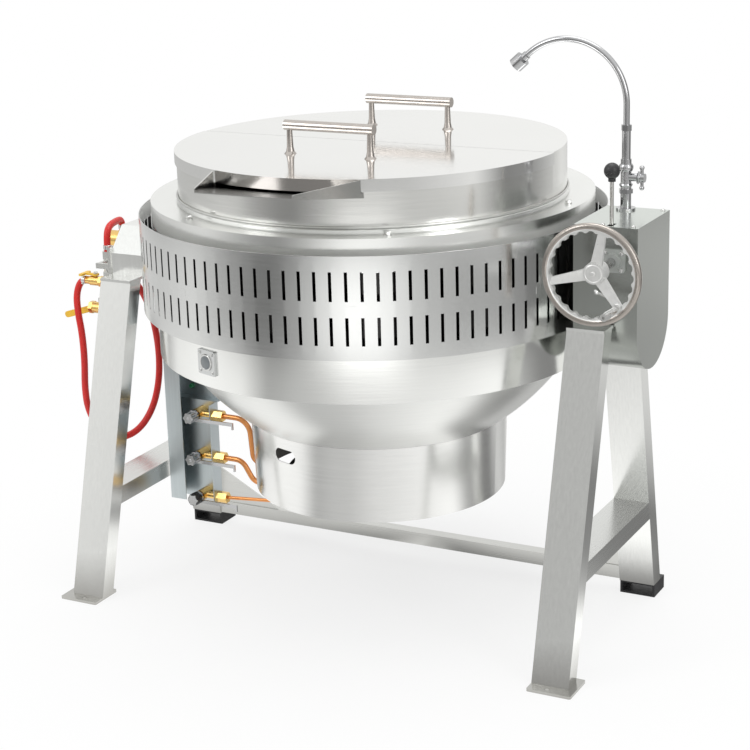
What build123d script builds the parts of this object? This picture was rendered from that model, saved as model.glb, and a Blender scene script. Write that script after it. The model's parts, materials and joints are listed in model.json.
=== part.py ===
from build123d import *
import math
import os

os.makedirs("parts", exist_ok=True)

# Tilting jacketed cooking kettle on an A-frame, with a gas burner and a worm gear.
# X runs along the trunnions, -Y is the pouring side and +Z is up.
# The origin is on the floor, straight below the kettle's own axis.

# Kettle shell
trunnion_height = 745.0
sheet = 2.0
thin_sheet = 1.5
pot_radius = 418.0
pot_bowl_depth = 180.0
pot_bowl_raise = 40.0
jacket_gap = 58.0
jacket_radius = pot_radius + jacket_gap
band_bottom = trunnion_height - 174.0
dish_inset = 39.0
dish_edge_radius = jacket_radius - dish_inset
dish_centre = band_bottom + 261.0
dish_radius = math.hypot(dish_edge_radius, dish_centre - band_bottom)
rim_height = trunnion_height + 161.0
rim_lip = 44.0
rim_overhang = 2.0
collar_top = rim_height + 103.5
bead_radius = 4.0

# Slotted shroud round the jacket
shroud_gap = 29.5
shroud_radius = jacket_radius + shroud_gap
shroud_bottom = trunnion_height - 76.0
shroud_top = trunnion_height + 133.0
slot_count = 102
front_slots = 47
rear_slots = 49
slot_width = 6.5
upper_slot_low = trunnion_height + 43.0
upper_slot_high = trunnion_height + 102.0
lower_slot_low = trunnion_height - 46.0
lower_slot_high = trunnion_height + 11.0
spacer_count = 8
spacer_side = 14.0
spacer_height = (upper_slot_low + lower_slot_high) / 2

# Burner skirt and burner
skirt_top_radius = jacket_radius - 190.0
skirt_bottom_radius = skirt_top_radius - 6.0
skirt_bottom = band_bottom - 326.0
sight_hole_length = 62.0
sight_hole_height = 30.0
sight_hole_angle = -108.3
sight_hole_z = band_bottom - 200.0
burner_height = band_bottom - 309.0
burner_outer_ring = skirt_bottom_radius - 80.0
burner_inner_ring = 0.525 * burner_outer_ring
burner_tube_radius = 14.0

# Pouring spout
spout_turn = 1.6
spout_root_half_width = 171.0
spout_lip_half_width = 107.0
spout_lip_y = -pot_radius - 142.0
spout_root_depth = 38.0
spout_lip_depth = 9.0

# Lid in two halves, each with a bar handle
lid_thickness = 1.5
lid_seam_gap = 1.0
lid_skirt_depth = 25.0
lid_skirt_clearance = 2.5
lid_lip_depth = 14.0
lid_lip_clearance = 1.5
handle_span = 188.0
handle_place = 185.0
handle_bar_radius = 11.0
handle_bar_overhang = 10.0
handle_post_height = 60.0
handle_post_foot = 13.0
handle_post_middle = 7.0
handle_post_neck = 5.5

# Trunnions and their bearings
trunnion_offset = -10.0
trunnion_radius = 25.0
running_clearance = 0.05
boss_radius = 38.0
boss_reach = shroud_radius + 5.5
boss_window_clearance = 4.0
saddle_thickness = 8.0
saddle_low = trunnion_height - 55.0
saddle_high = trunnion_height + 55.0
saddle_half_angle = 8.0
bearing_width = 50.0
bearing_length = 110.0
bearing_foot = 14.0
bearing_ring = 40.0

# Gearbox cover on the right
gearbox_gap = 9.5
gearbox_inner = shroud_radius + gearbox_gap
gearbox_width = 135.0
gearbox_front = -131.0
gearbox_back = 59.0
gearbox_top = trunnion_height + 151.0
gearbox_round_start = trunnion_height - 62.0
cut_clearance = 1.0
bearing_inner_face = gearbox_inner + 15.0

# A-frame
leg_centre = bearing_inner_face + 32.0
leg_width = 80.0
leg_depth = 41.5
leg_wall = 3.0
leg_top = trunnion_height - 53.0
front_leg_floor = -373.0
front_leg_top = -183.0
rear_leg_floor = 142.0
rear_leg_top = 4.0
rail_bottom = 200.0
rail_height = 40.0
beam_side = 30.0
beam_bottom = 33.0
beam_front = 138.0
beam_wall = 2.5
gusset_height = 89.0
gusset_length = 165.0
gusset_thickness = 4.0
foot_plate_thickness = 6.0
foot_plate_front = -400.0
foot_plate_length = 84.0
foot_plate_overhang = 15.0
foot_hole_radius = 5.5
foot_hole_place = -386.0
foot_block_height = 30.0
foot_block_front = 140.0
foot_block_length = 64.0
foot_block_wall = 5.0
top_plate_thickness = 6.0
top_plate_front = -186.0
top_plate_back = 47.0

# Left bearing cover
left_cover_front = -135.0
left_cover_back = 50.0
left_cover_top = trunnion_height + 55.0
left_cover_shoulder = trunnion_height
left_cover_slope = 50.0
left_cover_face = leg_centre + 42.0

# Worm gear
gear_module = 4.0
wheel_teeth = 30
wheel_width = 18.0
worm_x = leg_centre + 40.0
worm_pitch_radius = 24.0
worm_length = 58.0
worm_shaft_radius = 10.0
worm_rear_radius = 8.0
gear_backlash = 1.0

# Handwheel
handwheel_y = -256.0
handwheel_radius = 102.0
handwheel_rim = 7.5
handwheel_hub_radius = 23.0
handwheel_hub_length = 28.0
hub_setback = 8.0
spoke_dish = 16.0
spoke_start_angle = 76.0
spoke_hub_width = 24.0
spoke_rim_width = 14.0
scallop_count = 24
scallop_radius = 10.6
grip_angle = -48.0
grip_place = 81.0
grip_radius = 8.5
grip_length = 68.0
grip_pin_radius = 3.5

# Lock lever beside the worm
lock_x = leg_centre + 26.5
lock_y = -112.0
lock_pivot_z = trunnion_height + 105.0
lock_hub_width = 8.0
lock_rod_radius = 4.0
lock_ball_radius = 16.0
lock_ball_z = gearbox_top + 108.0
lock_slot_length = 26.0

# Water tap with a swan neck
tap_x = leg_centre + 2.0
tap_y = 35.0
tap_radius = 11.0
tap_body_top = gearbox_top + 104.0
tap_valve_z = gearbox_top + 67.0
neck_radius = 6.5
neck_straight_top = tap_body_top + 110.0
neck_bend_radius = 128.0
neck_bend_angle = 131.0
neck_end_run = 6.0
nozzle_length = 34.0
nozzle_radius = 16.0

# Valve panel and its three gas valves
panel_left = -jacket_radius - 31.0
panel_strip = 41.0
panel_right = panel_left + 119.0
panel_web_y = -60.0
panel_back_y = -35.0
panel_front_y = -95.0
panel_bottom = band_bottom - 416.0
panel_web_top = band_bottom - 176.0
panel_strip_top = band_bottom + 69.0
panel_top_right = -math.sqrt(jacket_radius**2 - panel_back_y**2) - 0.01
valve_x = panel_left + 80.0
valve_y = -80.0
upper_valve_z = band_bottom - 202.0
middle_valve_z = band_bottom - 303.0
pilot_valve_z = band_bottom - 401.0
valve_body_radius = 13.0
valve_lever_length = 107.0
gas_tube_radius = 6.0
pilot_tube_radius = 4.0

# Gas pipes on the left of the frame
pipe_x = -left_cover_face - 36.0
pipe_y = -97.0
pipe_radius = 10.5
pipe_low = trunnion_height - 175.0
pipe_high = trunnion_height - 7.0
main_valve_z = trunnion_height - 145.0
branch_valve_z = trunnion_height - 81.0
ball_valve_x = pipe_x - 38.0
union_end = -left_cover_face - 86.0
union_radius = 20.0
union_stub_radius = 15.0
hose_radius = 8.0

# Sight port on the jacket band
port_angle = -109.0
port_z = band_bottom + 53.0
port_side = 52.0
port_thickness = 4.5
port_glass_radius = 17.0

# Values that follow from the sizes above
worm_height = trunnion_height + gear_module * wheel_teeth / 2 + worm_pitch_radius
wheel_relief = gear_module * wheel_teeth / 2 + gear_module + 2
gearbox_outer = gearbox_inner + gearbox_width
gearbox_centre = (gearbox_front + gearbox_back) / 2
gearbox_round = (gearbox_back - gearbox_front) / 2
leg_inner = leg_centre - leg_width / 2
leg_outer = leg_centre + leg_width / 2
lid_top = collar_top + lid_thickness
trunnion_line = Axis((0, trunnion_offset, trunnion_height), (1, 0, 0))


def bowl_height(radius):
    """The height of the jacket's bowl at a radius, less a hair for the weld."""
    return dish_centre - math.sqrt(dish_radius**2 - radius**2) - 0.01


def leg_face(floor_y, top_y, height):
    """The Y of a leg's front face at a height."""
    return floor_y + (top_y - floor_y) * height / leg_top


def leg_corners(floor_y, top_y, low, high, inset):
    """The four corners of a leg's side view, inset by a wall."""
    return [
        (leg_face(floor_y, top_y, low) + inset, low),
        (leg_face(floor_y, top_y, low) + leg_depth - inset, low),
        (leg_face(floor_y, top_y, high) + leg_depth - inset, high),
        (leg_face(floor_y, top_y, high) + inset, high),
    ]


# A-frame legs: slanted rectangular tubes
with BuildPart() as leg_front_left:
    with BuildSketch(Plane.YZ.offset(-leg_outer)):
        Polygon(*leg_corners(front_leg_floor, front_leg_top, foot_plate_thickness, leg_top, 0), align=None)
    extrude(amount=leg_width)
    with BuildSketch(Plane.YZ.offset(-leg_outer + leg_wall)):
        Polygon(*leg_corners(front_leg_floor, front_leg_top, foot_plate_thickness, leg_top, leg_wall), align=None)
    extrude(amount=leg_width - 2 * leg_wall, mode=Mode.SUBTRACT)
leg_front_left.part.label = "leg_front_left"
export_step(leg_front_left.part, "parts/leg_front_left.step")

with BuildPart() as leg_front_right:
    add(mirror(leg_front_left.part, about=Plane.YZ, mode=Mode.PRIVATE))
leg_front_right.part.label = "leg_front_right"
export_step(leg_front_right.part, "parts/leg_front_right.step")

with BuildPart() as leg_rear_left:
    with BuildSketch(Plane.YZ.offset(-leg_outer)):
        Polygon(*leg_corners(rear_leg_floor, rear_leg_top, foot_block_height, leg_top, 0), align=None)
    extrude(amount=leg_width)
    with BuildSketch(Plane.YZ.offset(-leg_outer + leg_wall)):
        Polygon(*leg_corners(rear_leg_floor, rear_leg_top, foot_block_height, leg_top, leg_wall), align=None)
    extrude(amount=leg_width - 2 * leg_wall, mode=Mode.SUBTRACT)
leg_rear_left.part.label = "leg_rear_left"
export_step(leg_rear_left.part, "parts/leg_rear_left.step")

with BuildPart() as leg_rear_right:
    add(mirror(leg_rear_left.part, about=Plane.YZ, mode=Mode.PRIVATE))
    # relief for the worm wheel
    with Locations((worm_x, trunnion_offset, trunnion_height)):
        Cylinder(wheel_relief, wheel_width + 3, rotation=(0, 90, 0), mode=Mode.SUBTRACT)
leg_rear_right.part.label = "leg_rear_right"
export_step(leg_rear_right.part, "parts/leg_rear_right.step")

# Side rails: level tubes from the front leg to the rear leg
rail_top = rail_bottom + rail_height
rail_corners = [
    (leg_face(front_leg_floor, front_leg_top, rail_bottom) + leg_depth, rail_bottom),
    (leg_face(rear_leg_floor, rear_leg_top, rail_bottom), rail_bottom),
    (leg_face(rear_leg_floor, rear_leg_top, rail_top), rail_top),
    (leg_face(front_leg_floor, front_leg_top, rail_top) + leg_depth, rail_top),
]
with BuildPart() as side_rail_left:
    with BuildSketch(Plane.YZ.offset(-leg_outer)):
        Polygon(*rail_corners, align=None)
    extrude(amount=leg_width)
    with BuildSketch(Plane.XZ):
        with Locations((-leg_centre, rail_bottom + rail_height / 2)):
            Rectangle(leg_width - 2 * leg_wall, rail_height - 2 * leg_wall)
    extrude(amount=500, both=True, mode=Mode.SUBTRACT)
side_rail_left.part.label = "side_rail_left"
export_step(side_rail_left.part, "parts/side_rail_left.step")

with BuildPart() as side_rail_right:
    add(mirror(side_rail_left.part, about=Plane.YZ, mode=Mode.PRIVATE))
side_rail_right.part.label = "side_rail_right"
export_step(side_rail_right.part, "parts/side_rail_right.step")

# Rear cross beam with a corner gusset at each end
beam_top = beam_bottom + beam_side
with BuildPart() as cross_beam:
    with BuildSketch(Plane.YZ.offset(-leg_inner)):
        with Locations((beam_front + beam_side / 2, beam_bottom + beam_side / 2)):
            Rectangle(beam_side, beam_side)
            Rectangle(beam_side - 2 * beam_wall, beam_side - 2 * beam_wall, mode=Mode.SUBTRACT)
    extrude(amount=2 * leg_inner)
    for side in (-1, 1):
        with BuildSketch(Plane.XZ.offset(-beam_front - beam_wall)):
            Polygon(
                (side * leg_inner, beam_top),
                (side * (leg_inner - gusset_length), beam_top),
                (side * leg_inner, beam_top + gusset_height),
                align=None,
            )
        extrude(amount=-gusset_thickness)
cross_beam.part.label = "cross_beam"
export_step(cross_beam.part, "parts/cross_beam.step")

# Front foot plates with one bolt hole, and hollow rear foot blocks
with BuildPart() as foot_plate_left:
    with BuildSketch(Plane.XY):
        with Locations((-leg_inner - (leg_width + foot_plate_overhang) / 2, foot_plate_front + foot_plate_length / 2)):
            RectangleRounded(leg_width + foot_plate_overhang, foot_plate_length, 4)
        with Locations((-leg_centre, foot_hole_place)):
            Circle(foot_hole_radius, mode=Mode.SUBTRACT)
    extrude(amount=foot_plate_thickness)
foot_plate_left.part.label = "foot_plate_left"
export_step(foot_plate_left.part, "parts/foot_plate_left.step")

with BuildPart() as foot_plate_right:
    add(mirror(foot_plate_left.part, about=Plane.YZ, mode=Mode.PRIVATE))
foot_plate_right.part.label = "foot_plate_right"
export_step(foot_plate_right.part, "parts/foot_plate_right.step")

with BuildPart() as foot_block_left:
    with BuildSketch(Plane.XZ.offset(-foot_block_front)):
        with Locations((-leg_centre, foot_block_height / 2)):
            Rectangle(leg_width, foot_block_height)
            Rectangle(leg_width - 2 * foot_block_wall, foot_block_height - 2 * foot_block_wall, mode=Mode.SUBTRACT)
    extrude(amount=-foot_block_length)
foot_block_left.part.label = "foot_block_left"
export_step(foot_block_left.part, "parts/foot_block_left.step")

with BuildPart() as foot_block_right:
    add(mirror(foot_block_left.part, about=Plane.YZ, mode=Mode.PRIVATE))
foot_block_right.part.label = "foot_block_right"
export_step(foot_block_right.part, "parts/foot_block_right.step")

# Plates across the leg tops, which carry the trunnion bearings
top_plate_top = leg_top + top_plate_thickness
with BuildPart() as top_plate_left:
    with BuildSketch(Plane.XY.offset(leg_top)):
        with Locations((-leg_centre, (top_plate_front + top_plate_back) / 2)):
            Rectangle(leg_width, top_plate_back - top_plate_front)
    extrude(amount=top_plate_thickness)
top_plate_left.part.label = "top_plate_left"
export_step(top_plate_left.part, "parts/top_plate_left.step")

with BuildPart() as top_plate_right:
    add(mirror(top_plate_left.part, about=Plane.YZ, mode=Mode.PRIVATE))
    # relief for the worm wheel
    with Locations((worm_x, trunnion_offset, trunnion_height)):
        Cylinder(wheel_relief, wheel_width + 3, rotation=(0, 90, 0), mode=Mode.SUBTRACT)
top_plate_right.part.label = "top_plate_right"
export_step(top_plate_right.part, "parts/top_plate_right.step")

# Pillow-block bearings
with BuildPart() as bearing_right:
    with BuildSketch(Plane.YZ.offset(bearing_inner_face)):
        with Locations((trunnion_offset, top_plate_top + bearing_foot / 2)):
            Rectangle(bearing_length, bearing_foot)
        with BuildLine():
            Polyline(
                (trunnion_offset - bearing_ring - 8, top_plate_top + bearing_foot),
                (trunnion_offset + bearing_ring + 8, top_plate_top + bearing_foot),
                (trunnion_offset + bearing_ring - 2, trunnion_height),
                (trunnion_offset - bearing_ring + 2, trunnion_height),
                close=True,
            )
        make_face()
        with Locations((trunnion_offset, trunnion_height)):
            Circle(bearing_ring)
            Circle(trunnion_radius + running_clearance, mode=Mode.SUBTRACT)
    extrude(amount=bearing_width)
bearing_right.part.label = "bearing_right"
export_step(bearing_right.part, "parts/bearing_right.step")

with BuildPart() as bearing_left:
    add(mirror(bearing_right.part, about=Plane.YZ, mode=Mode.PRIVATE))
bearing_left.part.label = "bearing_left"
export_step(bearing_left.part, "parts/bearing_left.step")

# Folded cover over the left bearing, with a sloping front shoulder
left_cover_outline = [
    (left_cover_front, top_plate_top),
    (left_cover_front, left_cover_shoulder),
    (left_cover_front + left_cover_slope, left_cover_top),
    (left_cover_back, left_cover_top),
    (left_cover_back, top_plate_top),
]
with BuildPart() as bearing_cover:
    with BuildSketch(Plane.YZ.offset(-left_cover_face)):
        Polygon(*left_cover_outline, align=None)
    extrude(amount=left_cover_face - leg_inner)
    with BuildSketch(Plane.YZ.offset(-left_cover_face + thin_sheet)):
        Polygon(
            (left_cover_front + thin_sheet, top_plate_top),
            (left_cover_front + thin_sheet, left_cover_shoulder - thin_sheet / 2),
            (left_cover_front + left_cover_slope + thin_sheet / 2, left_cover_top - thin_sheet),
            (left_cover_back - thin_sheet, left_cover_top - thin_sheet),
            (left_cover_back - thin_sheet, top_plate_top),
            align=None,
        )
    extrude(amount=left_cover_face - leg_inner - 2 * thin_sheet, mode=Mode.SUBTRACT)
    with BuildSketch(Plane.YZ.offset(-leg_inner - 10)):
        with Locations((trunnion_offset, trunnion_height)):
            Circle(trunnion_radius + 3)
    extrude(amount=20, mode=Mode.SUBTRACT)
    with BuildSketch(Plane.YZ.offset(-left_cover_face - 5)):
        with Locations((trunnion_offset, trunnion_height)):
            Circle(union_stub_radius + 2)
    extrude(amount=10, mode=Mode.SUBTRACT)
bearing_cover.part.label = "bearing_cover"
export_step(bearing_cover.part, "parts/bearing_cover.step")

# Gearbox cover: flat top, straight sides and a half-round bottom
with BuildPart() as gearbox_cover:
    with BuildSketch(Plane.YZ.offset(gearbox_inner)):
        with BuildLine():
            Polyline(
                (gearbox_front, gearbox_round_start),
                (gearbox_front, gearbox_top),
                (gearbox_back, gearbox_top),
                (gearbox_back, gearbox_round_start),
            )
            ThreePointArc(
                (gearbox_back, gearbox_round_start),
                (gearbox_centre, gearbox_round_start - gearbox_round),
                (gearbox_front, gearbox_round_start),
            )
        make_face()
    extrude(amount=gearbox_width)
    with BuildSketch(Plane.YZ.offset(gearbox_inner + thin_sheet)):
        with BuildLine():
            Polyline(
                (gearbox_front + thin_sheet, gearbox_round_start),
                (gearbox_front + thin_sheet, gearbox_top - thin_sheet),
                (gearbox_back - thin_sheet, gearbox_top - thin_sheet),
                (gearbox_back - thin_sheet, gearbox_round_start),
            )
            ThreePointArc(
                (gearbox_back - thin_sheet, gearbox_round_start),
                (gearbox_centre, gearbox_round_start - gearbox_round + thin_sheet),
                (gearbox_front + thin_sheet, gearbox_round_start),
            )
        make_face()
    extrude(amount=gearbox_width - 2 * thin_sheet, mode=Mode.SUBTRACT)
    # the trunnion comes in through the inner wall
    with BuildSketch(Plane.YZ.offset(gearbox_inner - 2)):
        with Locations((trunnion_offset, trunnion_height)):
            Circle(trunnion_radius + 3)
    extrude(amount=6, mode=Mode.SUBTRACT)
    # the rear leg comes up through the round bottom
    with BuildSketch(Plane.YZ.offset(leg_inner - cut_clearance)):
        Polygon(
            (leg_face(rear_leg_floor, rear_leg_top, 500) - cut_clearance, 500),
            (leg_face(rear_leg_floor, rear_leg_top, 500) + leg_depth + cut_clearance, 500),
            (leg_face(rear_leg_floor, rear_leg_top, leg_top) + leg_depth + cut_clearance, leg_top),
            (leg_face(rear_leg_floor, rear_leg_top, leg_top) - cut_clearance, leg_top),
            align=None,
        )
    extrude(amount=leg_width + 2 * cut_clearance, mode=Mode.SUBTRACT)
    # the top plate comes in through the front wall
    with Locations((leg_centre, gearbox_front, leg_top + top_plate_thickness / 2)):
        Box(leg_width + 2 * cut_clearance, 20, top_plate_thickness + 2 * cut_clearance, mode=Mode.SUBTRACT)
    # the worm shaft goes out through the front wall
    with Locations((worm_x, gearbox_front, worm_height)):
        Cylinder(worm_shaft_radius + 4, 20, rotation=(90, 0, 0), mode=Mode.SUBTRACT)
    # slot for the lock lever
    with Locations((lock_x, lock_y, gearbox_top)):
        Box(2 * lock_rod_radius + 4, lock_slot_length, 20, mode=Mode.SUBTRACT)
gearbox_cover.part.label = "gearbox_cover"
export_step(gearbox_cover.part, "parts/gearbox_cover.step")

# Bracket inside the gearbox: it holds the rear worm bearing and the lock pin
bracket_face = bearing_inner_face + bearing_width
bracket_thickness = 4.0
rear_bearing_front = 22.0
rear_bearing_length = 22.0
with BuildPart() as gear_bracket:
    with BuildSketch(Plane.YZ.offset(bracket_face)):
        Polygon(
            (lock_y - 8, top_plate_top),
            (top_plate_back, top_plate_top),
            (top_plate_back, worm_height + 20),
            (rear_bearing_front, worm_height + 20),
            (rear_bearing_front, trunnion_height + 45),
            (lock_y + 16, trunnion_height + 45),
            (lock_y + 8, lock_pivot_z + 12),
            (lock_y - 8, lock_pivot_z + 12),
            align=None,
        )
        with Locations((trunnion_offset, trunnion_height)):
            Circle(trunnion_radius + 3, mode=Mode.SUBTRACT)
    extrude(amount=bracket_thickness)
    with Locations((bracket_face + bracket_thickness, rear_bearing_front, worm_height - 16)):
        Box(
            worm_x + 16 - bracket_face - bracket_thickness,
            rear_bearing_length,
            32,
            align=(Align.MIN, Align.MIN, Align.MIN),
        )
    with Locations((worm_x, rear_bearing_front + rear_bearing_length / 2, worm_height)):
        Cylinder(worm_rear_radius + running_clearance, rear_bearing_length + 2, rotation=(90, 0, 0), mode=Mode.SUBTRACT)
    with Locations((bracket_face + bracket_thickness, lock_y, lock_pivot_z)):
        Cylinder(lock_rod_radius, 14, rotation=(0, 90, 0), align=(Align.CENTER, Align.CENTER, Align.MIN))
gear_bracket.part.label = "gear_bracket"
export_step(gear_bracket.part, "parts/gear_bracket.step")

# Square flange bearing on the front of the gearbox
flange_side = 46.0
flange_thickness = 8.0
flange_boss = 12.0
with BuildPart() as worm_flange:
    with BuildSketch(Plane.XZ.offset(-gearbox_front)):
        with Locations((worm_x, worm_height)):
            RectangleRounded(flange_side, flange_side, 6)
    extrude(amount=flange_thickness)
    with BuildSketch(Plane.XZ.offset(-gearbox_front + flange_thickness)):
        with Locations((worm_x, worm_height)):
            Circle(17)
    extrude(amount=flange_boss)
    with Locations((worm_x, gearbox_front - 10, worm_height)):
        Cylinder(worm_shaft_radius + running_clearance, 60, rotation=(90, 0, 0), mode=Mode.SUBTRACT)
worm_flange.part.label = "worm_flange"
export_step(worm_flange.part, "parts/worm_flange.step")

# Worm and its shaft: one right-hand thread that meshes with the wheel on the trunnion
worm_pitch = math.pi * gear_module
worm_tip_radius = worm_pitch_radius + gear_module
worm_root_radius = worm_pitch_radius - 1.25 * gear_module
worm_start = trunnion_offset - worm_length / 2
thread_turns = 4
thread_length = thread_turns * worm_pitch
shaft_front = handwheel_y + hub_setback + 4
with BuildPart() as worm_shaft:
    with BuildSketch(Plane.XZ.offset(-shaft_front)):
        with Locations((worm_x, worm_height)):
            Circle(worm_shaft_radius)
    extrude(amount=-(rear_bearing_front - shaft_front))
    with BuildSketch(Plane.XZ.offset(-rear_bearing_front)):
        with Locations((worm_x, worm_height)):
            Circle(worm_rear_radius)
    extrude(amount=-(rear_bearing_length + 2))
    with BuildSketch(Plane.XZ.offset(-worm_start)):
        with Locations((worm_x, worm_height)):
            Circle(worm_root_radius)
    extrude(amount=-(worm_length / 2 + 30))
thread_root_half = worm_pitch / 4 + 1.25 * gear_module * math.tan(math.radians(20)) - gear_backlash / 2
thread_tip_half = worm_pitch / 4 - gear_module * math.tan(math.radians(20)) - gear_backlash / 2
with BuildPart() as worm_thread:
    with BuildLine():
        thread_path = Helix(worm_pitch, thread_length, worm_root_radius)
    with BuildSketch(Plane.XZ):
        Polygon(
            (worm_root_radius - 0.5, -thread_root_half),
            (worm_tip_radius, -thread_tip_half),
            (worm_tip_radius, thread_tip_half),
            (worm_root_radius - 0.5, thread_root_half),
            align=None,
        )
    sweep(path=thread_path, is_frenet=True)
# the thread starts on the wheel's side of the worm, so that a turn of it sits in a tooth gap
thread_plane = Plane(
    origin=(worm_x, trunnion_offset - thread_length / 2, worm_height), x_dir=(0, 0, -1), z_dir=(0, 1, 0)
)
with worm_shaft:
    add(thread_plane.from_local_coords(worm_thread.part))
worm_shaft.part.label = "worm_shaft"
export_step(worm_shaft.part, "parts/worm_shaft.step")

# Worm wheel keyed on the right trunnion
wheel_pitch_radius = gear_module * wheel_teeth / 2
wheel_root_radius = wheel_pitch_radius - 1.25 * gear_module
wheel_tip_radius = wheel_pitch_radius + gear_module - 0.5
tooth_half = math.pi * gear_module / 4 - gear_backlash / 2
tooth_slope = math.tan(math.radians(20))
with BuildPart() as worm_wheel:
    with BuildSketch(Plane.YZ.offset(worm_x - wheel_width / 2)) as wheel_face:
        with Locations((trunnion_offset, trunnion_height)):
            Circle(wheel_root_radius + 0.2)
            with PolarLocations(0, wheel_teeth, start_angle=90 + 180 / wheel_teeth):
                Polygon(
                    (wheel_root_radius - 1, -tooth_half - 1.25 * gear_module * tooth_slope),
                    (wheel_tip_radius, -tooth_half + (gear_module - 0.5) * tooth_slope),
                    (wheel_tip_radius, tooth_half - (gear_module - 0.5) * tooth_slope),
                    (wheel_root_radius - 1, tooth_half + 1.25 * gear_module * tooth_slope),
                    align=None,
                )
            Circle(trunnion_radius, mode=Mode.SUBTRACT)
    extrude(amount=wheel_width)
worm_wheel.part.label = "worm_wheel"
export_step(worm_wheel.part, "parts/worm_wheel.step")

# Handwheel with three spokes and finger scallops inside the rim
wheel_plane = Plane(origin=(worm_x, handwheel_y, worm_height), x_dir=(1, 0, 0), z_dir=(0, -1, 0))
rim_centre = handwheel_radius - handwheel_rim
spoke_angles = (spoke_start_angle, spoke_start_angle + 117, spoke_start_angle + 236)
grip_spot = (grip_place * math.cos(math.radians(grip_angle)), grip_place * math.sin(math.radians(grip_angle)))
with BuildPart() as spokes:
    with BuildSketch(wheel_plane.offset(-hub_setback - handwheel_hub_length)):
        for spoke_angle in spoke_angles:
            with Locations(Rotation(0, 0, spoke_angle)):
                Polygon(
                    (6, -spoke_hub_width / 2),
                    (rim_centre, -spoke_rim_width / 2),
                    (rim_centre, spoke_rim_width / 2),
                    (6, spoke_hub_width / 2),
                    align=None,
                )
    extrude(amount=2 * handwheel_hub_length)
    # the spokes lean back from the rim to the hub
    with BuildSketch(Plane(origin=(worm_x, handwheel_y, worm_height), x_dir=(1, 0, 0), z_dir=(0, 0, 1))):
        Polygon(
            (0, spoke_dish + 5),
            (0, spoke_dish - 4),
            (handwheel_hub_radius, spoke_dish - 4),
            (rim_centre, -3),
            (rim_centre, 4),
            (handwheel_hub_radius, spoke_dish + 5),
            align=None,
        )
    revolve(axis=Axis((worm_x, handwheel_y, worm_height), (0, 1, 0)), mode=Mode.INTERSECT)
with BuildPart() as handwheel:
    with BuildSketch(Plane(origin=(worm_x, handwheel_y, worm_height), x_dir=(1, 0, 0), z_dir=(0, 0, 1))):
        with Locations((rim_centre, 0)):
            Circle(handwheel_rim)
    revolve(axis=Axis((worm_x, handwheel_y, worm_height), (0, 1, 0)))
    with BuildSketch(wheel_plane.offset(-5)):
        Circle(rim_centre - handwheel_rim + 3)
        Circle(rim_centre - handwheel_rim - 4, mode=Mode.SUBTRACT)
        with PolarLocations(rim_centre - handwheel_rim - scallop_radius, scallop_count):
            Circle(scallop_radius, mode=Mode.SUBTRACT)
    extrude(amount=10)
    add(spokes.part)
    with BuildSketch(wheel_plane.offset(-hub_setback)):
        Circle(handwheel_hub_radius - 2)
    extrude(amount=-handwheel_hub_length, taper=-4)
    with BuildSketch(wheel_plane):
        with Locations(grip_spot):
            Circle(8.5)
    extrude(amount=10)
    with BuildSketch(wheel_plane):
        with Locations(grip_spot):
            Circle(grip_pin_radius)
    extrude(amount=54)
    with BuildSketch(wheel_plane.offset(-hub_setback - 4)):
        Circle(worm_shaft_radius)
    extrude(amount=-60, mode=Mode.SUBTRACT)
handwheel.part.label = "handwheel"
export_step(handwheel.part, "parts/handwheel.step")

# Turning grip on the handwheel
grip_plane = Plane(
    origin=(
        worm_x + grip_place * math.cos(math.radians(grip_angle)),
        handwheel_y - 10.5,
        worm_height + grip_place * math.sin(math.radians(grip_angle)),
    ),
    x_dir=(1, 0, 0),
    z_dir=(0, -1, 0),
)
with BuildPart() as crank_grip:
    with BuildSketch(grip_plane):
        Circle(grip_radius - 3)
    with BuildSketch(grip_plane.offset(grip_length * 0.7)):
        Circle(grip_radius)
    with BuildSketch(grip_plane.offset(grip_length)):
        Circle(grip_radius - 1)
    loft(ruled=True)
    with BuildSketch(grip_plane):
        Circle(grip_pin_radius + running_clearance)
    extrude(amount=46, mode=Mode.SUBTRACT)
    # the hole in the grip's end
    with BuildSketch(grip_plane.offset(grip_length)):
        Circle(3)
    extrude(amount=-10, mode=Mode.SUBTRACT)
crank_grip.part.label = "crank_grip"
export_step(crank_grip.part, "parts/crank_grip.step")

# Lock lever: a hub on its pin, a rod up through the cover and a ball
with BuildPart() as lock_lever:
    with Locations((lock_x, lock_y, lock_pivot_z)):
        Cylinder(9, lock_hub_width, rotation=(0, 90, 0))
    with Locations((lock_x, lock_y, lock_pivot_z)):
        Cylinder(lock_rod_radius, lock_ball_z - lock_pivot_z - 8, align=(Align.CENTER, Align.CENTER, Align.MIN))
    with Locations((lock_x, lock_y, lock_pivot_z)):
        Cylinder(lock_rod_radius + running_clearance, 12, rotation=(0, 90, 0), mode=Mode.SUBTRACT)
    with Locations((lock_x, lock_y, lock_ball_z)):
        Sphere(lock_ball_radius)
lock_lever.part.label = "lock_lever"
export_step(lock_lever.part, "parts/lock_lever.step")

# Water tap: flange, column, body and side valve
with BuildPart() as tap_body:
    with BuildSketch(Plane.XY.offset(gearbox_top)):
        with Locations((tap_x, tap_y)):
            Circle(20)
    extrude(amount=4)
    with BuildSketch(Plane.XY.offset(gearbox_top + 4)):
        with Locations((tap_x, tap_y)):
            Circle(tap_radius)
    extrude(amount=tap_body_top - gearbox_top - 4)
    with BuildSketch(Plane.XY.offset(gearbox_top + 34)):
        with Locations((tap_x, tap_y)):
            RegularPolygon(15, 6)
    extrude(amount=9)
    with BuildSketch(Plane.YZ.offset(tap_x)):
        with Locations((tap_y, tap_valve_z)):
            Circle(8)
    extrude(amount=26)
    with BuildSketch(Plane.YZ.offset(tap_x + 26)):
        with Locations((tap_y, tap_valve_z)):
            Circle(3)
    extrude(amount=12)
tap_body.part.label = "tap_body"
export_step(tap_body.part, "parts/tap_body.step")

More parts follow.
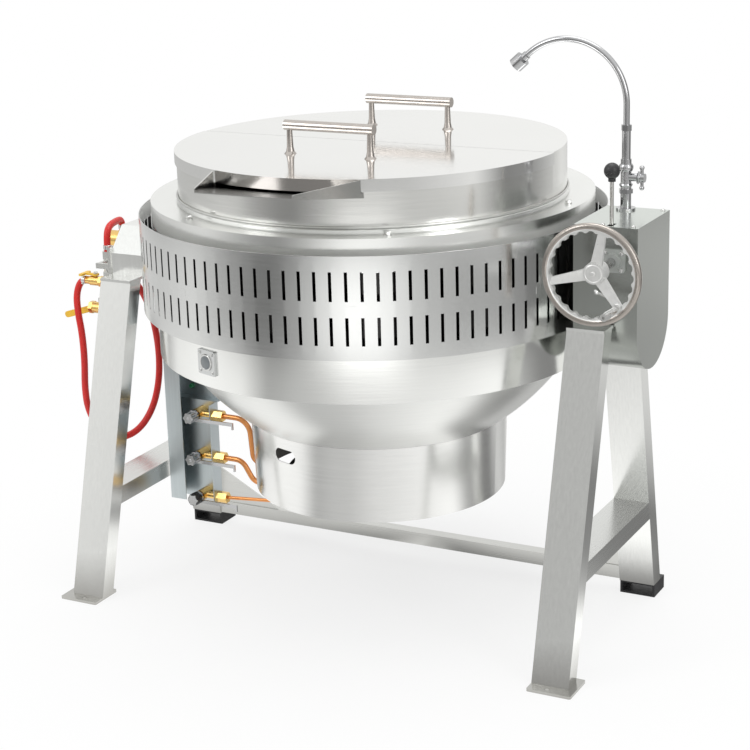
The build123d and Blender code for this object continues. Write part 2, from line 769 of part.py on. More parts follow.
# Tap lever on the side valve
with BuildPart() as tap_lever:
    with BuildSketch(Plane.YZ.offset(tap_x + 26.5)):
        with Locations((tap_y, tap_valve_z)):
            Circle(9)
    extrude(amount=14)
    with Locations((tap_x + 34, tap_y, tap_valve_z)):
        Cylinder(3.5, 44)
    with BuildSketch(Plane.YZ.offset(tap_x + 20)):
        with Locations((tap_y, tap_valve_z)):
            Circle(3 + running_clearance)
    extrude(amount=18.5, mode=Mode.SUBTRACT)
tap_lever.part.label = "tap_lever"
export_step(tap_lever.part, "parts/tap_lever.step")

# Swan neck: a vertical run and one large arc over the kettle
neck_bend = math.radians(neck_bend_angle)
neck_arc_end = (
    tap_x - neck_bend_radius + neck_bend_radius * math.cos(neck_bend),
    neck_straight_top + neck_bend_radius * math.sin(neck_bend),
)
neck_direction = (-math.sin(neck_bend), math.cos(neck_bend))
neck_tip = (
    neck_arc_end[0] + neck_end_run * neck_direction[0],
    neck_arc_end[1] + neck_end_run * neck_direction[1],
)
with BuildPart() as swan_neck:
    with BuildLine(Plane.XZ.offset(-tap_y)):
        Line((tap_x, tap_body_top), (tap_x, neck_straight_top))
        CenterArc((tap_x - neck_bend_radius, neck_straight_top), neck_bend_radius, 0, neck_bend_angle)
        Line(neck_arc_end, neck_tip)
    with BuildSketch(Plane.XY.offset(tap_body_top)):
        with Locations((tap_x, tap_y)):
            Circle(neck_radius)
    sweep()
    with BuildSketch(Plane.XY.offset(tap_body_top)):
        with Locations((tap_x, tap_y)):
            Circle(9)
    extrude(amount=58)
    with BuildSketch(Plane.XY.offset(tap_body_top + 58)):
        with Locations((tap_x, tap_y)):
            RegularPolygon(11, 6)
    extrude(amount=12)
swan_neck.part.label = "swan_neck"
export_step(swan_neck.part, "parts/swan_neck.step")

# Spray nozzle on the end of the swan neck
nozzle_plane = Plane(
    origin=(neck_tip[0], tap_y, neck_tip[1]), x_dir=(0, 1, 0), z_dir=(neck_direction[0], 0, neck_direction[1])
)
with BuildPart() as spray_nozzle:
    with BuildSketch(nozzle_plane):
        Circle(9)
    extrude(amount=12)
    with BuildSketch(nozzle_plane.offset(12)):
        Circle(nozzle_radius)
    extrude(amount=nozzle_length - 12)
    with BuildSketch(nozzle_plane.offset(nozzle_length)):
        Circle(nozzle_radius - 3)
    extrude(amount=-5, mode=Mode.SUBTRACT)
spray_nozzle.part.label = "spray_nozzle"
export_step(spray_nozzle.part, "parts/spray_nozzle.step")

# Inner pot: a straight wall up to the collar and a dished bottom
pot_bowl_start = band_bottom + pot_bowl_raise
with BuildPart() as inner_pot:
    with BuildSketch(Plane.XZ):
        with BuildLine():
            Polyline(
                (0, pot_bowl_start - pot_bowl_depth + sheet),
                (0, pot_bowl_start - pot_bowl_depth),
            )
            EllipticalCenterArc((0, pot_bowl_start), pot_radius, pot_bowl_depth, -90, arc_size=90)
            Polyline(
                (pot_radius, pot_bowl_start),
                (pot_radius, collar_top),
                (pot_radius - sheet, collar_top),
                (pot_radius - sheet, pot_bowl_start),
            )
            EllipticalCenterArc((0, pot_bowl_start), pot_radius - sheet, pot_bowl_depth - sheet, -90, arc_size=90)
        make_face()
    revolve(axis=Axis.Z)
    # the pouring mouth, cut through the collar behind the spout
    with Locations(Location((0, 0, collar_top + 1), (0, 0, spout_turn)) * Location((0, -pot_radius, 0))):
        Box(
            2 * spout_root_half_width - 12,
            160,
            spout_root_depth - 2,
            align=(Align.CENTER, Align.CENTER, Align.MAX),
            mode=Mode.SUBTRACT,
        )
inner_pot.part.label = "inner_pot"
export_step(inner_pot.part, "parts/inner_pot.step")

# Outer jacket: a plain band with a flat step in to a dished bowl
dish_inner_edge = math.sqrt((dish_radius - sheet) ** 2 - (dish_centre - band_bottom - sheet) ** 2)
dish_angle = math.degrees(math.asin(dish_edge_radius / dish_radius))
dish_inner_angle = math.degrees(math.asin(dish_inner_edge / (dish_radius - sheet)))
with BuildPart() as jacket:
    with BuildSketch(Plane.XZ):
        with BuildLine():
            Line((0, dish_centre - dish_radius + sheet), (0, dish_centre - dish_radius))
            CenterArc((0, dish_centre), dish_radius, -90, dish_angle)
            Polyline(
                (dish_edge_radius, band_bottom),
                (jacket_radius, band_bottom),
                (jacket_radius, rim_height - sheet),
                (jacket_radius - sheet, rim_height - sheet),
                (jacket_radius - sheet, band_bottom + sheet),
                (dish_inner_edge, band_bottom + sheet),
            )
            CenterArc((0, dish_centre), dish_radius - sheet, -90, dish_inner_angle)
        make_face()
    revolve(axis=Axis.Z)
jacket.part.label = "jacket"
export_step(jacket.part, "parts/jacket.step")

# Rim ring that closes the jacket, with a turned-down lip and a bead at the collar
with BuildPart() as rim_ring:
    with BuildSketch(Plane.XZ):
        with BuildLine():
            Polyline(
                (pot_radius, rim_height - sheet),
                (jacket_radius, rim_height - sheet),
                (jacket_radius, rim_height - rim_lip),
                (jacket_radius + rim_overhang, rim_height - rim_lip),
                (jacket_radius + rim_overhang, rim_height),
                (pot_radius + bead_radius, rim_height),
                (pot_radius + bead_radius, rim_height + bead_radius),
                (pot_radius, rim_height + 2 * bead_radius),
                close=True,
            )
        make_face()
    revolve(axis=Axis.Z)
rim_ring.part.label = "rim_ring"
export_step(rim_ring.part, "parts/rim_ring.step")

# Slotted shroud, held off the jacket by spacers and open round each trunnion boss
boss_window = boss_radius + boss_window_clearance
slot_step = 360 / slot_count
front_span = (front_slots - 1) * slot_step
rear_span = (rear_slots - 1) * slot_step
upper_slot_middle = (upper_slot_low + upper_slot_high) / 2
lower_slot_middle = (lower_slot_low + lower_slot_high) / 2
with BuildPart() as shroud:
    with BuildSketch(Plane.XY.offset(shroud_bottom)):
        Circle(shroud_radius)
        Circle(shroud_radius - thin_sheet, mode=Mode.SUBTRACT)
    extrude(amount=shroud_top - shroud_bottom)
    with PolarLocations(shroud_radius, slot_count, start_angle=-90):
        with Locations((0, 0, upper_slot_middle)):
            Box(16, slot_width, upper_slot_high - upper_slot_low, mode=Mode.SUBTRACT)
    # the lower row leaves out the slots that would meet a trunnion window
    with PolarLocations(shroud_radius, front_slots, -90 - front_span / 2, front_span, endpoint=True):
        with Locations((0, 0, lower_slot_middle)):
            Box(16, slot_width, lower_slot_high - lower_slot_low, mode=Mode.SUBTRACT)
    with PolarLocations(shroud_radius, rear_slots, 90 - rear_span / 2, rear_span, endpoint=True):
        with Locations((0, 0, lower_slot_middle)):
            Box(16, slot_width, lower_slot_high - lower_slot_low, mode=Mode.SUBTRACT)
    with Locations((0, trunnion_offset, trunnion_height)):
        Cylinder(boss_window, 3 * shroud_radius, rotation=(0, 90, 0), mode=Mode.SUBTRACT)
with BuildPart() as spacers:
    with PolarLocations((jacket_radius + shroud_radius - thin_sheet) / 2, spacer_count, start_angle=180 / spacer_count):
        with Locations((0, 0, spacer_height)):
            Box(shroud_radius - thin_sheet - jacket_radius + 4, spacer_side, spacer_side)
    with Locations((0, 0, spacer_height)):
        Cylinder(jacket_radius, 40, mode=Mode.SUBTRACT)
with shroud:
    add(spacers.part)
shroud.part.label = "shroud"
export_step(shroud.part, "parts/shroud.step")

# Burner skirt: a slightly tapered wall with a sight hole and a gas tube hole
upper_tube_y = -0.33 * burner_outer_ring
skirt_top = bowl_height(skirt_top_radius)
skirt_top_inside = skirt_top_radius - thin_sheet
sight_direction = (math.cos(math.radians(sight_hole_angle)), math.sin(math.radians(sight_hole_angle)), 0)
sight_hole_plane = Plane(
    origin=(sight_direction[0] * skirt_top_radius, sight_direction[1] * skirt_top_radius, sight_hole_z),
    x_dir=(-sight_direction[1], sight_direction[0], 0),
    z_dir=sight_direction,
)
with BuildPart() as burner_skirt:
    with BuildSketch(Plane.XZ):
        Polygon(
            (skirt_top_radius, skirt_top),
            (skirt_top_inside, bowl_height(skirt_top_inside)),
            (skirt_bottom_radius - thin_sheet, skirt_bottom),
            (skirt_bottom_radius, skirt_bottom),
            align=None,
        )
    revolve(axis=Axis.Z)
    with BuildSketch(sight_hole_plane):
        SlotOverall(sight_hole_length, sight_hole_height)
    extrude(amount=40, both=True, mode=Mode.SUBTRACT)
    with Locations((-skirt_bottom_radius, upper_tube_y, burner_height)):
        Cylinder(gas_tube_radius + 1.5, 60, rotation=(0, 90, 0), mode=Mode.SUBTRACT)
burner_skirt.part.label = "burner_skirt"
export_step(burner_skirt.part, "parts/burner_skirt.step")

# Burner: two ring tubes, a cross of feed bars and sockets for the gas tubes
socket_wall = 3.0
middle_tube_y = -0.8 * burner_inner_ring
upper_socket_x = -math.sqrt(burner_outer_ring**2 - upper_tube_y**2)
middle_socket_x = -math.sqrt(burner_inner_ring**2 - middle_tube_y**2)
with BuildPart() as burner:
    for ring_radius in (burner_outer_ring, burner_inner_ring):
        with BuildSketch(Plane.XZ):
            with Locations((ring_radius, burner_height)):
                Circle(burner_tube_radius)
        revolve(axis=Axis.Z)
    with PolarLocations(skirt_bottom_radius / 2, 3, start_angle=30):
        with Locations((0, 0, burner_height)):
            Box(skirt_bottom_radius + 20, 20, 5)
    with Locations((0, 0, burner_height)):
        Cylinder(burner_inner_ring - 4, 40, mode=Mode.SUBTRACT)
    # the bars end on the inside of the skirt
    with BuildSketch(Plane.XZ):
        Polygon(
            (skirt_bottom_radius - thin_sheet - 0.01, skirt_bottom),
            (skirt_top_inside - 0.01, bowl_height(skirt_top_inside)),
            (skirt_top_radius + 30, skirt_top),
            (skirt_top_radius + 30, skirt_bottom),
            align=None,
        )
    revolve(axis=Axis.Z, mode=Mode.SUBTRACT)
    with Locations((upper_socket_x, upper_tube_y, burner_height)):
        Cylinder(
            gas_tube_radius + socket_wall, 28, rotation=(0, -90, 0), align=(Align.CENTER, Align.CENTER, Align.MIN)
        )
    with Locations((middle_socket_x, middle_tube_y, burner_height)):
        Cylinder(gas_tube_radius + socket_wall, 24, align=(Align.CENTER, Align.CENTER, Align.MAX))
burner.part.label = "burner"
export_step(burner.part, "parts/burner.step")

# Spout: an open trough that narrows and rises to the lip
spout_root_y = -math.sqrt(pot_radius**2 - spout_root_half_width**2) + 8
with BuildPart() as straight_spout:
    with BuildSketch(Plane.XZ.offset(-spout_root_y)):
        with Locations((0, collar_top - spout_root_depth / 2)):
            Rectangle(2 * spout_root_half_width, spout_root_depth)
    with BuildSketch(Plane.XZ.offset(-spout_lip_y)):
        with Locations((0, collar_top - spout_lip_depth / 2)):
            Rectangle(2 * spout_lip_half_width, spout_lip_depth)
    loft()
    with BuildSketch(Plane.XZ.offset(-spout_root_y)):
        with Locations((0, collar_top - spout_root_depth / 2 + sheet)):
            Rectangle(2 * spout_root_half_width - 2 * sheet, spout_root_depth)
    with BuildSketch(Plane.XZ.offset(-spout_lip_y)):
        with Locations((0, collar_top - spout_lip_depth / 2 + sheet)):
            Rectangle(2 * spout_lip_half_width - 2 * sheet, spout_lip_depth)
    loft(mode=Mode.SUBTRACT)
    # the open lip
    with Locations((0, spout_lip_y, collar_top)):
        Box(2 * spout_lip_half_width - 2 * sheet, 6, 2 * (spout_lip_depth - sheet), mode=Mode.SUBTRACT)
    # the root follows the collar, and stays clear of the lid's skirt above
    with Locations((0, 0, collar_top)):
        Cylinder(pot_radius, 200, mode=Mode.SUBTRACT)
    with Locations((0, 0, lid_top - lid_skirt_depth - 2)):
        Cylinder(
            pot_radius + lid_skirt_clearance + lid_thickness + 2,
            60,
            align=(Align.CENTER, Align.CENTER, Align.MIN),
            mode=Mode.SUBTRACT,
        )
spout_turned = straight_spout.part.rotate(Axis.Z, spout_turn)
with BuildPart() as spout:
    add(spout_turned)
spout.part.label = "spout"
export_step(spout.part, "parts/spout.step")


# Trunnions: a saddle on the jacket, a boss through the shroud and a shaft
def saddle_sector(side):
    """A curved plate on the jacket, centred on the trunnion line."""
    centre_angle = math.degrees(math.asin(trunnion_offset / jacket_radius))
    with BuildPart() as sector:
        with BuildSketch(Plane.XZ):
            with Locations((jacket_radius + saddle_thickness / 2, (saddle_low + saddle_high) / 2)):
                Rectangle(saddle_thickness, saddle_high - saddle_low)
        revolve(axis=Axis.Z, revolution_arc=2 * saddle_half_angle)
    plate = sector.part.rotate(Axis.Z, centre_angle - saddle_half_angle)
    return plate if side > 0 else plate.mirror(Plane.YZ)


right_shaft_end = worm_x + wheel_width / 2 + 8
with BuildPart() as trunnion_right:
    add(saddle_sector(1))
    with BuildSketch(Plane.YZ.offset(jacket_radius - 4)):
        with Locations((trunnion_offset, trunnion_height)):
            Circle(boss_radius)
    extrude(amount=boss_reach - jacket_radius + 4)
    with BuildSketch(Plane.YZ.offset(boss_reach)):
        with Locations((trunnion_offset, trunnion_height)):
            Circle(trunnion_radius)
    extrude(amount=right_shaft_end - boss_reach)
    with Locations((0, 0, trunnion_height)):
        Cylinder(jacket_radius, 400, mode=Mode.SUBTRACT)
trunnion_right.part.label = "trunnion_right"
export_step(trunnion_right.part, "parts/trunnion_right.step")

left_shaft_end = left_cover_face - 12
union_bore_end = left_cover_face + 58
with BuildPart() as trunnion_left:
    add(saddle_sector(-1))
    with BuildSketch(Plane.YZ.offset(-boss_reach)):
        with Locations((trunnion_offset, trunnion_height)):
            Circle(boss_radius)
    extrude(amount=boss_reach - jacket_radius + 4)
    with BuildSketch(Plane.YZ.offset(-left_shaft_end)):
        with Locations((trunnion_offset, trunnion_height)):
            Circle(trunnion_radius)
    extrude(amount=left_shaft_end - boss_reach)
    with BuildSketch(Plane.YZ.offset(-union_bore_end + 3)):
        with Locations((trunnion_offset, trunnion_height)):
            Circle(union_stub_radius)
    extrude(amount=union_bore_end - 3 - left_shaft_end)
    with Locations((0, 0, trunnion_height)):
        Cylinder(jacket_radius, 400, mode=Mode.SUBTRACT)
trunnion_left.part.label = "trunnion_left"
export_step(trunnion_left.part, "parts/trunnion_left.step")

# Two lid halves: the front one has a skirt outside the collar, the rear one a lip inside it
skirt_inner = pot_radius + lid_skirt_clearance
skirt_outer = skirt_inner + lid_thickness
lip_outer = pot_radius - sheet - lid_lip_clearance
with BuildPart() as lid_front:
    with BuildSketch(Plane.XZ):
        with BuildLine():
            Polyline(
                (0, collar_top),
                (skirt_inner, collar_top),
                (skirt_inner, lid_top - lid_skirt_depth),
                (skirt_outer, lid_top - lid_skirt_depth),
                (skirt_outer, lid_top),
                (0, lid_top),
                close=True,
            )
        make_face()
    revolve(axis=Axis.Z, revolution_arc=-180)
    with Locations((0, -lid_seam_gap / 2, lid_top)):
        Box(
            2 * lip_outer - 20,
            lid_thickness,
            lid_lip_depth,
            align=(Align.CENTER, Align.MAX, Align.MAX),
        )
    with Locations((0, 0, lid_top)):
        Box(3 * pot_radius, lid_seam_gap, 80, mode=Mode.SUBTRACT)
lid_front.part.label = "lid_front"
export_step(lid_front.part, "parts/lid_front.step")

with BuildPart() as lid_rear:
    with BuildSketch(Plane.XZ):
        with BuildLine():
            Polyline(
                (0, collar_top),
                (lip_outer - lid_thickness, collar_top),
                (lip_outer - lid_thickness, lid_top - lid_lip_depth),
                (lip_outer, lid_top - lid_lip_depth),
                (lip_outer, collar_top),
                (pot_radius, collar_top),
                (pot_radius, lid_top),
                (0, lid_top),
                close=True,
            )
        make_face()
    revolve(axis=Axis.Z, revolution_arc=180)
    with Locations((0, lid_seam_gap / 2, lid_top)):
        Box(
            2 * lip_outer - 20,
            lid_thickness,
            lid_lip_depth,
            align=(Align.CENTER, Align.MIN, Align.MAX),
        )
    with Locations((0, 0, lid_top)):
        Box(3 * pot_radius, lid_seam_gap, 80, mode=Mode.SUBTRACT)
lid_rear.part.label = "lid_rear"
export_step(lid_rear.part, "parts/lid_rear.step")

# Bar handles on flared posts
with BuildPart() as handle_front:
    for side in (-1, 1):
        with BuildSketch(Plane.XY.offset(lid_top)):
            with Locations((side * handle_span / 2, -handle_place)):
                Circle(handle_post_foot)
        with BuildSketch(Plane.XY.offset(lid_top + 5)):
            with Locations((side * handle_span / 2, -handle_place)):
                Circle(handle_post_foot - 4)
        with BuildSketch(Plane.XY.offset(lid_top + 15)):
            with Locations((side * handle_span / 2, -handle_place)):
                Circle(handle_post_middle)
        with BuildSketch(Plane.XY.offset(lid_top + handle_post_height)):
            with Locations((side * handle_span / 2, -handle_place)):
                Circle(handle_post_neck)
        loft(ruled=True)
    with Locations((0, -handle_place, lid_top + handle_post_height)):
        Cylinder(handle_bar_radius, handle_span + 2 * handle_bar_overhang, rotation=(0, 90, 0))
handle_front.part.label = "handle_front"
export_step(handle_front.part, "parts/handle_front.step")

with BuildPart() as handle_rear:
    add(mirror(handle_front.part, about=Plane.XZ, mode=Mode.PRIVATE))
handle_rear.part.label = "handle_rear"
export_step(handle_rear.part, "parts/handle_rear.step")

# Valve panel: a folded channel below a stepped-back plate that hangs from the jacket band
with BuildPart() as valve_panel:
    # web behind the valves
    with Locations((panel_left, panel_web_y, panel_bottom)):
        Box(panel_right - panel_left, sheet, panel_web_top - panel_bottom, align=(Align.MIN, Align.MAX, Align.MIN))
    # level return from the web to the upper plate
    with Locations((panel_left, panel_back_y, panel_web_top)):
        Box(
            panel_right - panel_left,
            panel_back_y - panel_web_y + sheet,
            sheet,
            align=(Align.MIN, Align.MAX, Align.MAX),
        )
    # upper plate, cut to clear the bowl
    with BuildSketch(Plane.XZ.offset(-panel_back_y)):
        Polygon(
            (panel_left, panel_web_top - sheet),
            (panel_right, panel_web_top - sheet),
            (panel_right - 17, panel_web_top + 40),
            (panel_right - 82, panel_web_top + 133),
            (panel_top_right, band_bottom - 1),
            (panel_top_right, panel_strip_top),
            (panel_left, panel_strip_top),
            align=None,
        )
    extrude(amount=sheet)
    # right flange
    with Locations((panel_right, panel_web_y, panel_bottom)):
        Box(sheet, panel_web_y - panel_front_y, panel_web_top - panel_bottom, align=(Align.MAX, Align.MAX, Align.MIN))
    # left flange and its front strip
    with Locations((panel_left, panel_web_y, panel_bottom)):
        Box(sheet, panel_web_y - panel_front_y, panel_web_top - panel_bottom, align=(Align.MIN, Align.MAX, Align.MIN))
    with Locations((panel_left, panel_back_y, panel_web_top - sheet)):
        Box(
            sheet,
            panel_back_y - panel_front_y,
            panel_strip_top - panel_web_top + sheet,
            align=(Align.MIN, Align.MAX, Align.MIN),
        )
    with BuildSketch(Plane.XZ.offset(-panel_front_y - sheet)):
        Polygon(
            (panel_left, panel_bottom),
            (panel_left + panel_strip, panel_bottom),
            (panel_left + panel_strip, band_bottom - 31),
            (panel_top_right, band_bottom + 19),
            (panel_top_right, panel_strip_top),
            (panel_left, panel_strip_top),
            align=None,
        )
    extrude(amount=sheet)
    # outlet holes through the right flange
    for outlet_z in (upper_valve_z, middle_valve_z, pilot_valve_z):
        with Locations((panel_right, valve_y, outlet_z)):
            Cylinder(8.5, 20, rotation=(0, 90, 0), mode=Mode.SUBTRACT)
valve_panel.part.label = "valve_panel"
export_step(valve_panel.part, "parts/valve_panel.step")

# Gas valves: a round body on the web, a stem to the front and an outlet nut to the right
valve_nut_length = 28.0
stem_radius = 5.0
stem_end = -116.0


def gas_valve(height, bore):
    """One gas valve, with its outlet nut outside the panel's right flange."""
    with BuildPart() as valve:
        with Locations((valve_x, panel_web_y - sheet, height)):
            Cylinder(valve_body_radius, 34, rotation=(90, 0, 0), align=(Align.CENTER, Align.CENTER, Align.MIN))
            Cylinder(
                stem_radius,
                panel_web_y - sheet - stem_end,
                rotation=(90, 0, 0),
                align=(Align.CENTER, Align.CENTER, Align.MIN),
            )
        with Locations((valve_x, valve_y, height)):
            Cylinder(8, panel_right - valve_x + 2, rotation=(0, 90, 0), align=(Align.CENTER, Align.CENTER, Align.MIN))
        with BuildSketch(Plane.YZ.offset(panel_right)):
            with Locations((valve_y, height)):
                RegularPolygon(13, 6)
        extrude(amount=valve_nut_length)
        with BuildSketch(Plane.YZ.offset(panel_right + valve_nut_length)):
            with Locations((valve_y, height)):
                Circle(bore)
        extrude(amount=-6, mode=Mode.SUBTRACT)
    return valve


valve_upper = gas_valve(upper_valve_z, gas_tube_radius)
valve_upper.part.label = "valve_upper"
export_step(valve_upper.part, "parts/valve_upper.step")

valve_middle = gas_valve(middle_valve_z, gas_tube_radius)
valve_middle.part.label = "valve_middle"
export_step(valve_middle.part, "parts/valve_middle.step")

valve_pilot = gas_valve(pilot_valve_z, pilot_tube_radius)
valve_pilot.part.label = "valve_pilot"
export_step(valve_pilot.part, "parts/valve_pilot.step")


def valve_handle(height):
    """A lobed knob on the stem with a thin hooked lever to the right behind it."""
    with BuildPart() as lever:
        with Locations((valve_x, stem_end + 14, height)):
            Cylinder(14, 6, rotation=(90, 0, 0), align=(Align.CENTER, Align.CENTER, Align.MIN))
        with BuildSketch(Plane.XZ.offset(-stem_end - 8)):
            with Locations((valve_x, height)):
                Circle(11)
                with PolarLocations(10, 6):
                    Circle(3.5)
        extrude(amount=20)
        with Locations((valve_x, stem_end + 9.5, height - 8)):
            Box(valve_lever_length, 4, 8, align=(Align.MIN, Align.CENTER, Align.CENTER))
        with Locations((valve_x + valve_lever_length, stem_end + 9.5, height - 4)):
            Box(4, 4, 16, align=(Align.MAX, Align.CENTER, Align.MAX))
        with Locations((valve_x, stem_end + 14.5, height)):
            Cylinder(
                stem_radius + running_clearance,
                15,
                rotation=(90, 0, 0),
                align=(Align.CENTER, Align.CENTER, Align.MIN),
                mode=Mode.SUBTRACT,
            )
    return lever


lever_upper = valve_handle(upper_valve_z)
lever_upper.part.label = "lever_upper"
export_step(lever_upper.part, "parts/lever_upper.step")

lever_middle = valve_handle(middle_valve_z)
lever_middle.part.label = "lever_middle"
export_step(lever_middle.part, "parts/lever_middle.step")

lever_pilot = valve_handle(pilot_valve_z)
lever_pilot.part.label = "lever_pilot"
export_step(lever_pilot.part, "parts/lever_pilot.step")

# Gas tubes from the valves to the burner
tube_start = panel_right + valve_nut_length - 6
upper_riser_x = panel_right + 94
middle_riser_x = panel_right + 72
bend = 34.0
with BuildPart() as tube_upper:
    with BuildLine():
        FilletPolyline(
            (tube_start, valve_y, upper_valve_z),
            (upper_riser_x, valve_y, upper_valve_z),
            (upper_riser_x, upper_tube_y, burner_height),
            (upper_socket_x - 28, upper_tube_y, burner_height),
            radius=(bend, 20),
        )
    with BuildSketch(Plane.YZ.offset(tube_start)):
        with Locations((valve_y, upper_valve_z)):
            Circle(gas_tube_radius)
    sweep()
tube_upper.part.label = "tube_upper"
export_step(tube_upper.part, "parts/tube_upper.step")

with BuildPart() as tube_middle:
    with BuildLine():
        FilletPolyline(
            (tube_start, valve_y, middle_valve_z),
            (middle_riser_x, valve_y, middle_valve_z),
            (middle_riser_x + 32, middle_tube_y, skirt_bottom - 23),
            (middle_socket_x, middle_tube_y, skirt_bottom - 31),
            (middle_socket_x, middle_tube_y, burner_height - 24),
            radius=(bend, 30, 14),
        )
    with BuildSketch(Plane.YZ.offset(tube_start)):
        with Locations((valve_y, middle_valve_z)):
            Circle(gas_tube_radius)
    sweep()
tube_middle.part.label = "tube_middle"
export_step(tube_middle.part, "parts/tube_middle.step")

pilot_x = -0.75 * burner_outer_ring
pilot_riser_y = -0.32 * burner_outer_ring
with BuildPart() as tube_pilot:
    with BuildLine():
        FilletPolyline(
            (tube_start, valve_y, pilot_valve_z),
            (pilot_x, pilot_riser_y, pilot_valve_z + 12),
            (pilot_x, pilot_riser_y, burner_height + 26),
            radius=20,
        )
    with BuildSketch(Plane.YZ.offset(tube_start)):
        with Locations((valve_y, pilot_valve_z)):
            Circle(pilot_tube_radius)
    sweep()
tube_pilot.part.label = "tube_pilot"
export_step(tube_pilot.part, "parts/tube_pilot.step")

# Square sight port on the jacket band
with BuildPart() as port_plate:
    with BuildSketch(Plane.YZ.offset(jacket_radius - 4)):
        with Locations((0, port_z)):
            RectangleRounded(port_side, port_side, 3)
    extrude(amount=4 + port_thickness)
    with BuildSketch(Plane.YZ.offset(jacket_radius + port_thickness)):
        with Locations((0, port_z)):
            Circle(port_glass_radius)
    extrude(amount=1.5)
    with Locations((0, 0, port_z)):
        Cylinder(jacket_radius, 80, mode=Mode.SUBTRACT)
port_turned = port_plate.part.rotate(Axis.Z, port_angle)
with BuildPart() as sight_port:
    add(port_turned)
sight_port.part.label = "sight_port"
export_step(sight_port.part, "parts/sight_port.step")

# Gas manifold: a vertical pipe with two branches, on a bracket beside the left cover
with BuildPart() as gas_manifold:
    with BuildSketch(Plane.XY.offset(pipe_low)):
        with Locations((pipe_x, pipe_y)):
            Circle(pipe_radius)
    extrude(amount=pipe_high - 18 - pipe_low)
    with BuildSketch(Plane.XY.offset(pipe_high - 18)):
        with Locations((pipe_x, pipe_y)):
            RegularPolygon(13, 6)
    extrude(amount=18)
    for branch_z in (main_valve_z, branch_valve_z):
        with Locations((pipe_x, pipe_y, branch_z)):
            Cylinder(
                pipe_radius,
                pipe_x - ball_valve_x - 20,
                rotation=(0, -90, 0),
                align=(Align.CENTER, Align.CENTER, Align.MIN),
            )
    # hexagon unions on the pipe
    for union_z in (branch_valve_z + 14, branch_valve_z - 26):
        with BuildSketch(Plane.XY.offset(union_z)):
            with Locations((pipe_x, pipe_y)):
                RegularPolygon(14.5, 6)
        extrude(amount=12)
    # hanger strip on the cover, with two clips to the pipe
    with Locations((-left_cover_face, left_cover_front + 2, branch_valve_z - 74)):
        Box(8, 10, 168, align=(Align.MAX, Align.CENTER, Align.MIN))
    for clip_z in (branch_valve_z - 34, branch_valve_z + 48):
        with Locations((-left_cover_face - 8, left_cover_front - 3, clip_z)):
            Box(-pipe_x - left_cover_face - 2, 8, 12, align=(Align.MAX, Align.MIN, Align.CENTER))
        with Locations((pipe_x, left_cover_front - 3, clip_z)):
            Box(8, pipe_y - left_cover_front + 7 - pipe_radius, 12, align=(Align.CENTER, Align.MIN, Align.CENTER))
gas_manifold.part.label = "gas_manifold"
export_step(gas_manifold.part, "parts/gas_manifold.step")

# Ball valves on the branches
valve_outer = ball_valve_x - 20
with BuildPart() as main_valve:
    with Locations((ball_valve_x + 20, pipe_y, main_valve_z)):
        Cylinder(13, 40, rotation=(0, -90, 0), align=(Align.CENTER, Align.CENTER, Align.MIN))
    for nut_x in (ball_valve_x + 20, ball_valve_x - 10):
        with BuildSketch(Plane.YZ.offset(nut_x)):
            with Locations((pipe_y, main_valve_z)):
                RegularPolygon(15, 6)
        extrude(amount=-10)
    with Locations((ball_valve_x, pipe_y + 10, main_valve_z)):
        Cylinder(4, 18, rotation=(-90, 0, 0), align=(Align.CENTER, Align.CENTER, Align.MIN))
main_valve.part.label = "main_valve"
export_step(main_valve.part, "parts/main_valve.step")

main_lever_plane = Plane(
    origin=(ball_valve_x, pipe_y + 22, main_valve_z),
    x_dir=(-math.cos(math.radians(17)), 0, -math.sin(math.radians(17))),
    z_dir=(0, 1, 0),
)
with BuildPart() as main_valve_lever:
    with BuildSketch(main_lever_plane):
        Circle(9)
        with Locations((58, 0)):
            SlotOverall(120, 15)
        Circle(4 + running_clearance, mode=Mode.SUBTRACT)
    extrude(amount=4)
main_valve_lever.part.label = "main_valve_lever"
export_step(main_valve_lever.part, "parts/main_valve_lever.step")

ferrule_length = 12.0
with BuildPart() as branch_valve:
    with Locations((ball_valve_x + 20, pipe_y, branch_valve_z)):
        Cylinder(11, 34, rotation=(0, -90, 0), align=(Align.CENTER, Align.CENTER, Align.MIN))
    with BuildSketch(Plane.YZ.offset(ball_valve_x + 20)):
        with Locations((pipe_y, branch_valve_z)):
            RegularPolygon(13, 6)
    extrude(amount=-9)
    with Locations((ball_valve_x - 14, pipe_y, branch_valve_z)):
        Cylinder(9, ferrule_length, rotation=(0, -90, 0), align=(Align.CENTER, Align.CENTER, Align.MIN))
    with Locations((ball_valve_x, pipe_y, branch_valve_z)):
        Cylinder(3.5, 18, align=(Align.CENTER, Align.CENTER, Align.MIN))
branch_valve.part.label = "branch_valve"
export_step(branch_valve.part, "parts/branch_valve.step")

with BuildPart() as branch_valve_handle:
    with BuildSketch(Plane.XY.offset(branch_valve_z + 13)):
        with Locations((ball_valve_x - 15, pipe_y)):
            Rectangle(30, 9)
        with Locations((ball_valve_x - 31, pipe_y)):
            SlotOverall(40, 11, rotation=90)
        with Locations((ball_valve_x, pipe_y)):
            Circle(8)
            Circle(3.5 + running_clearance, mode=Mode.SUBTRACT)
    extrude(amount=4)
branch_valve_handle.part.label = "branch_valve_handle"
export_step(branch_valve_handle.part, "parts/branch_valve_handle.step")

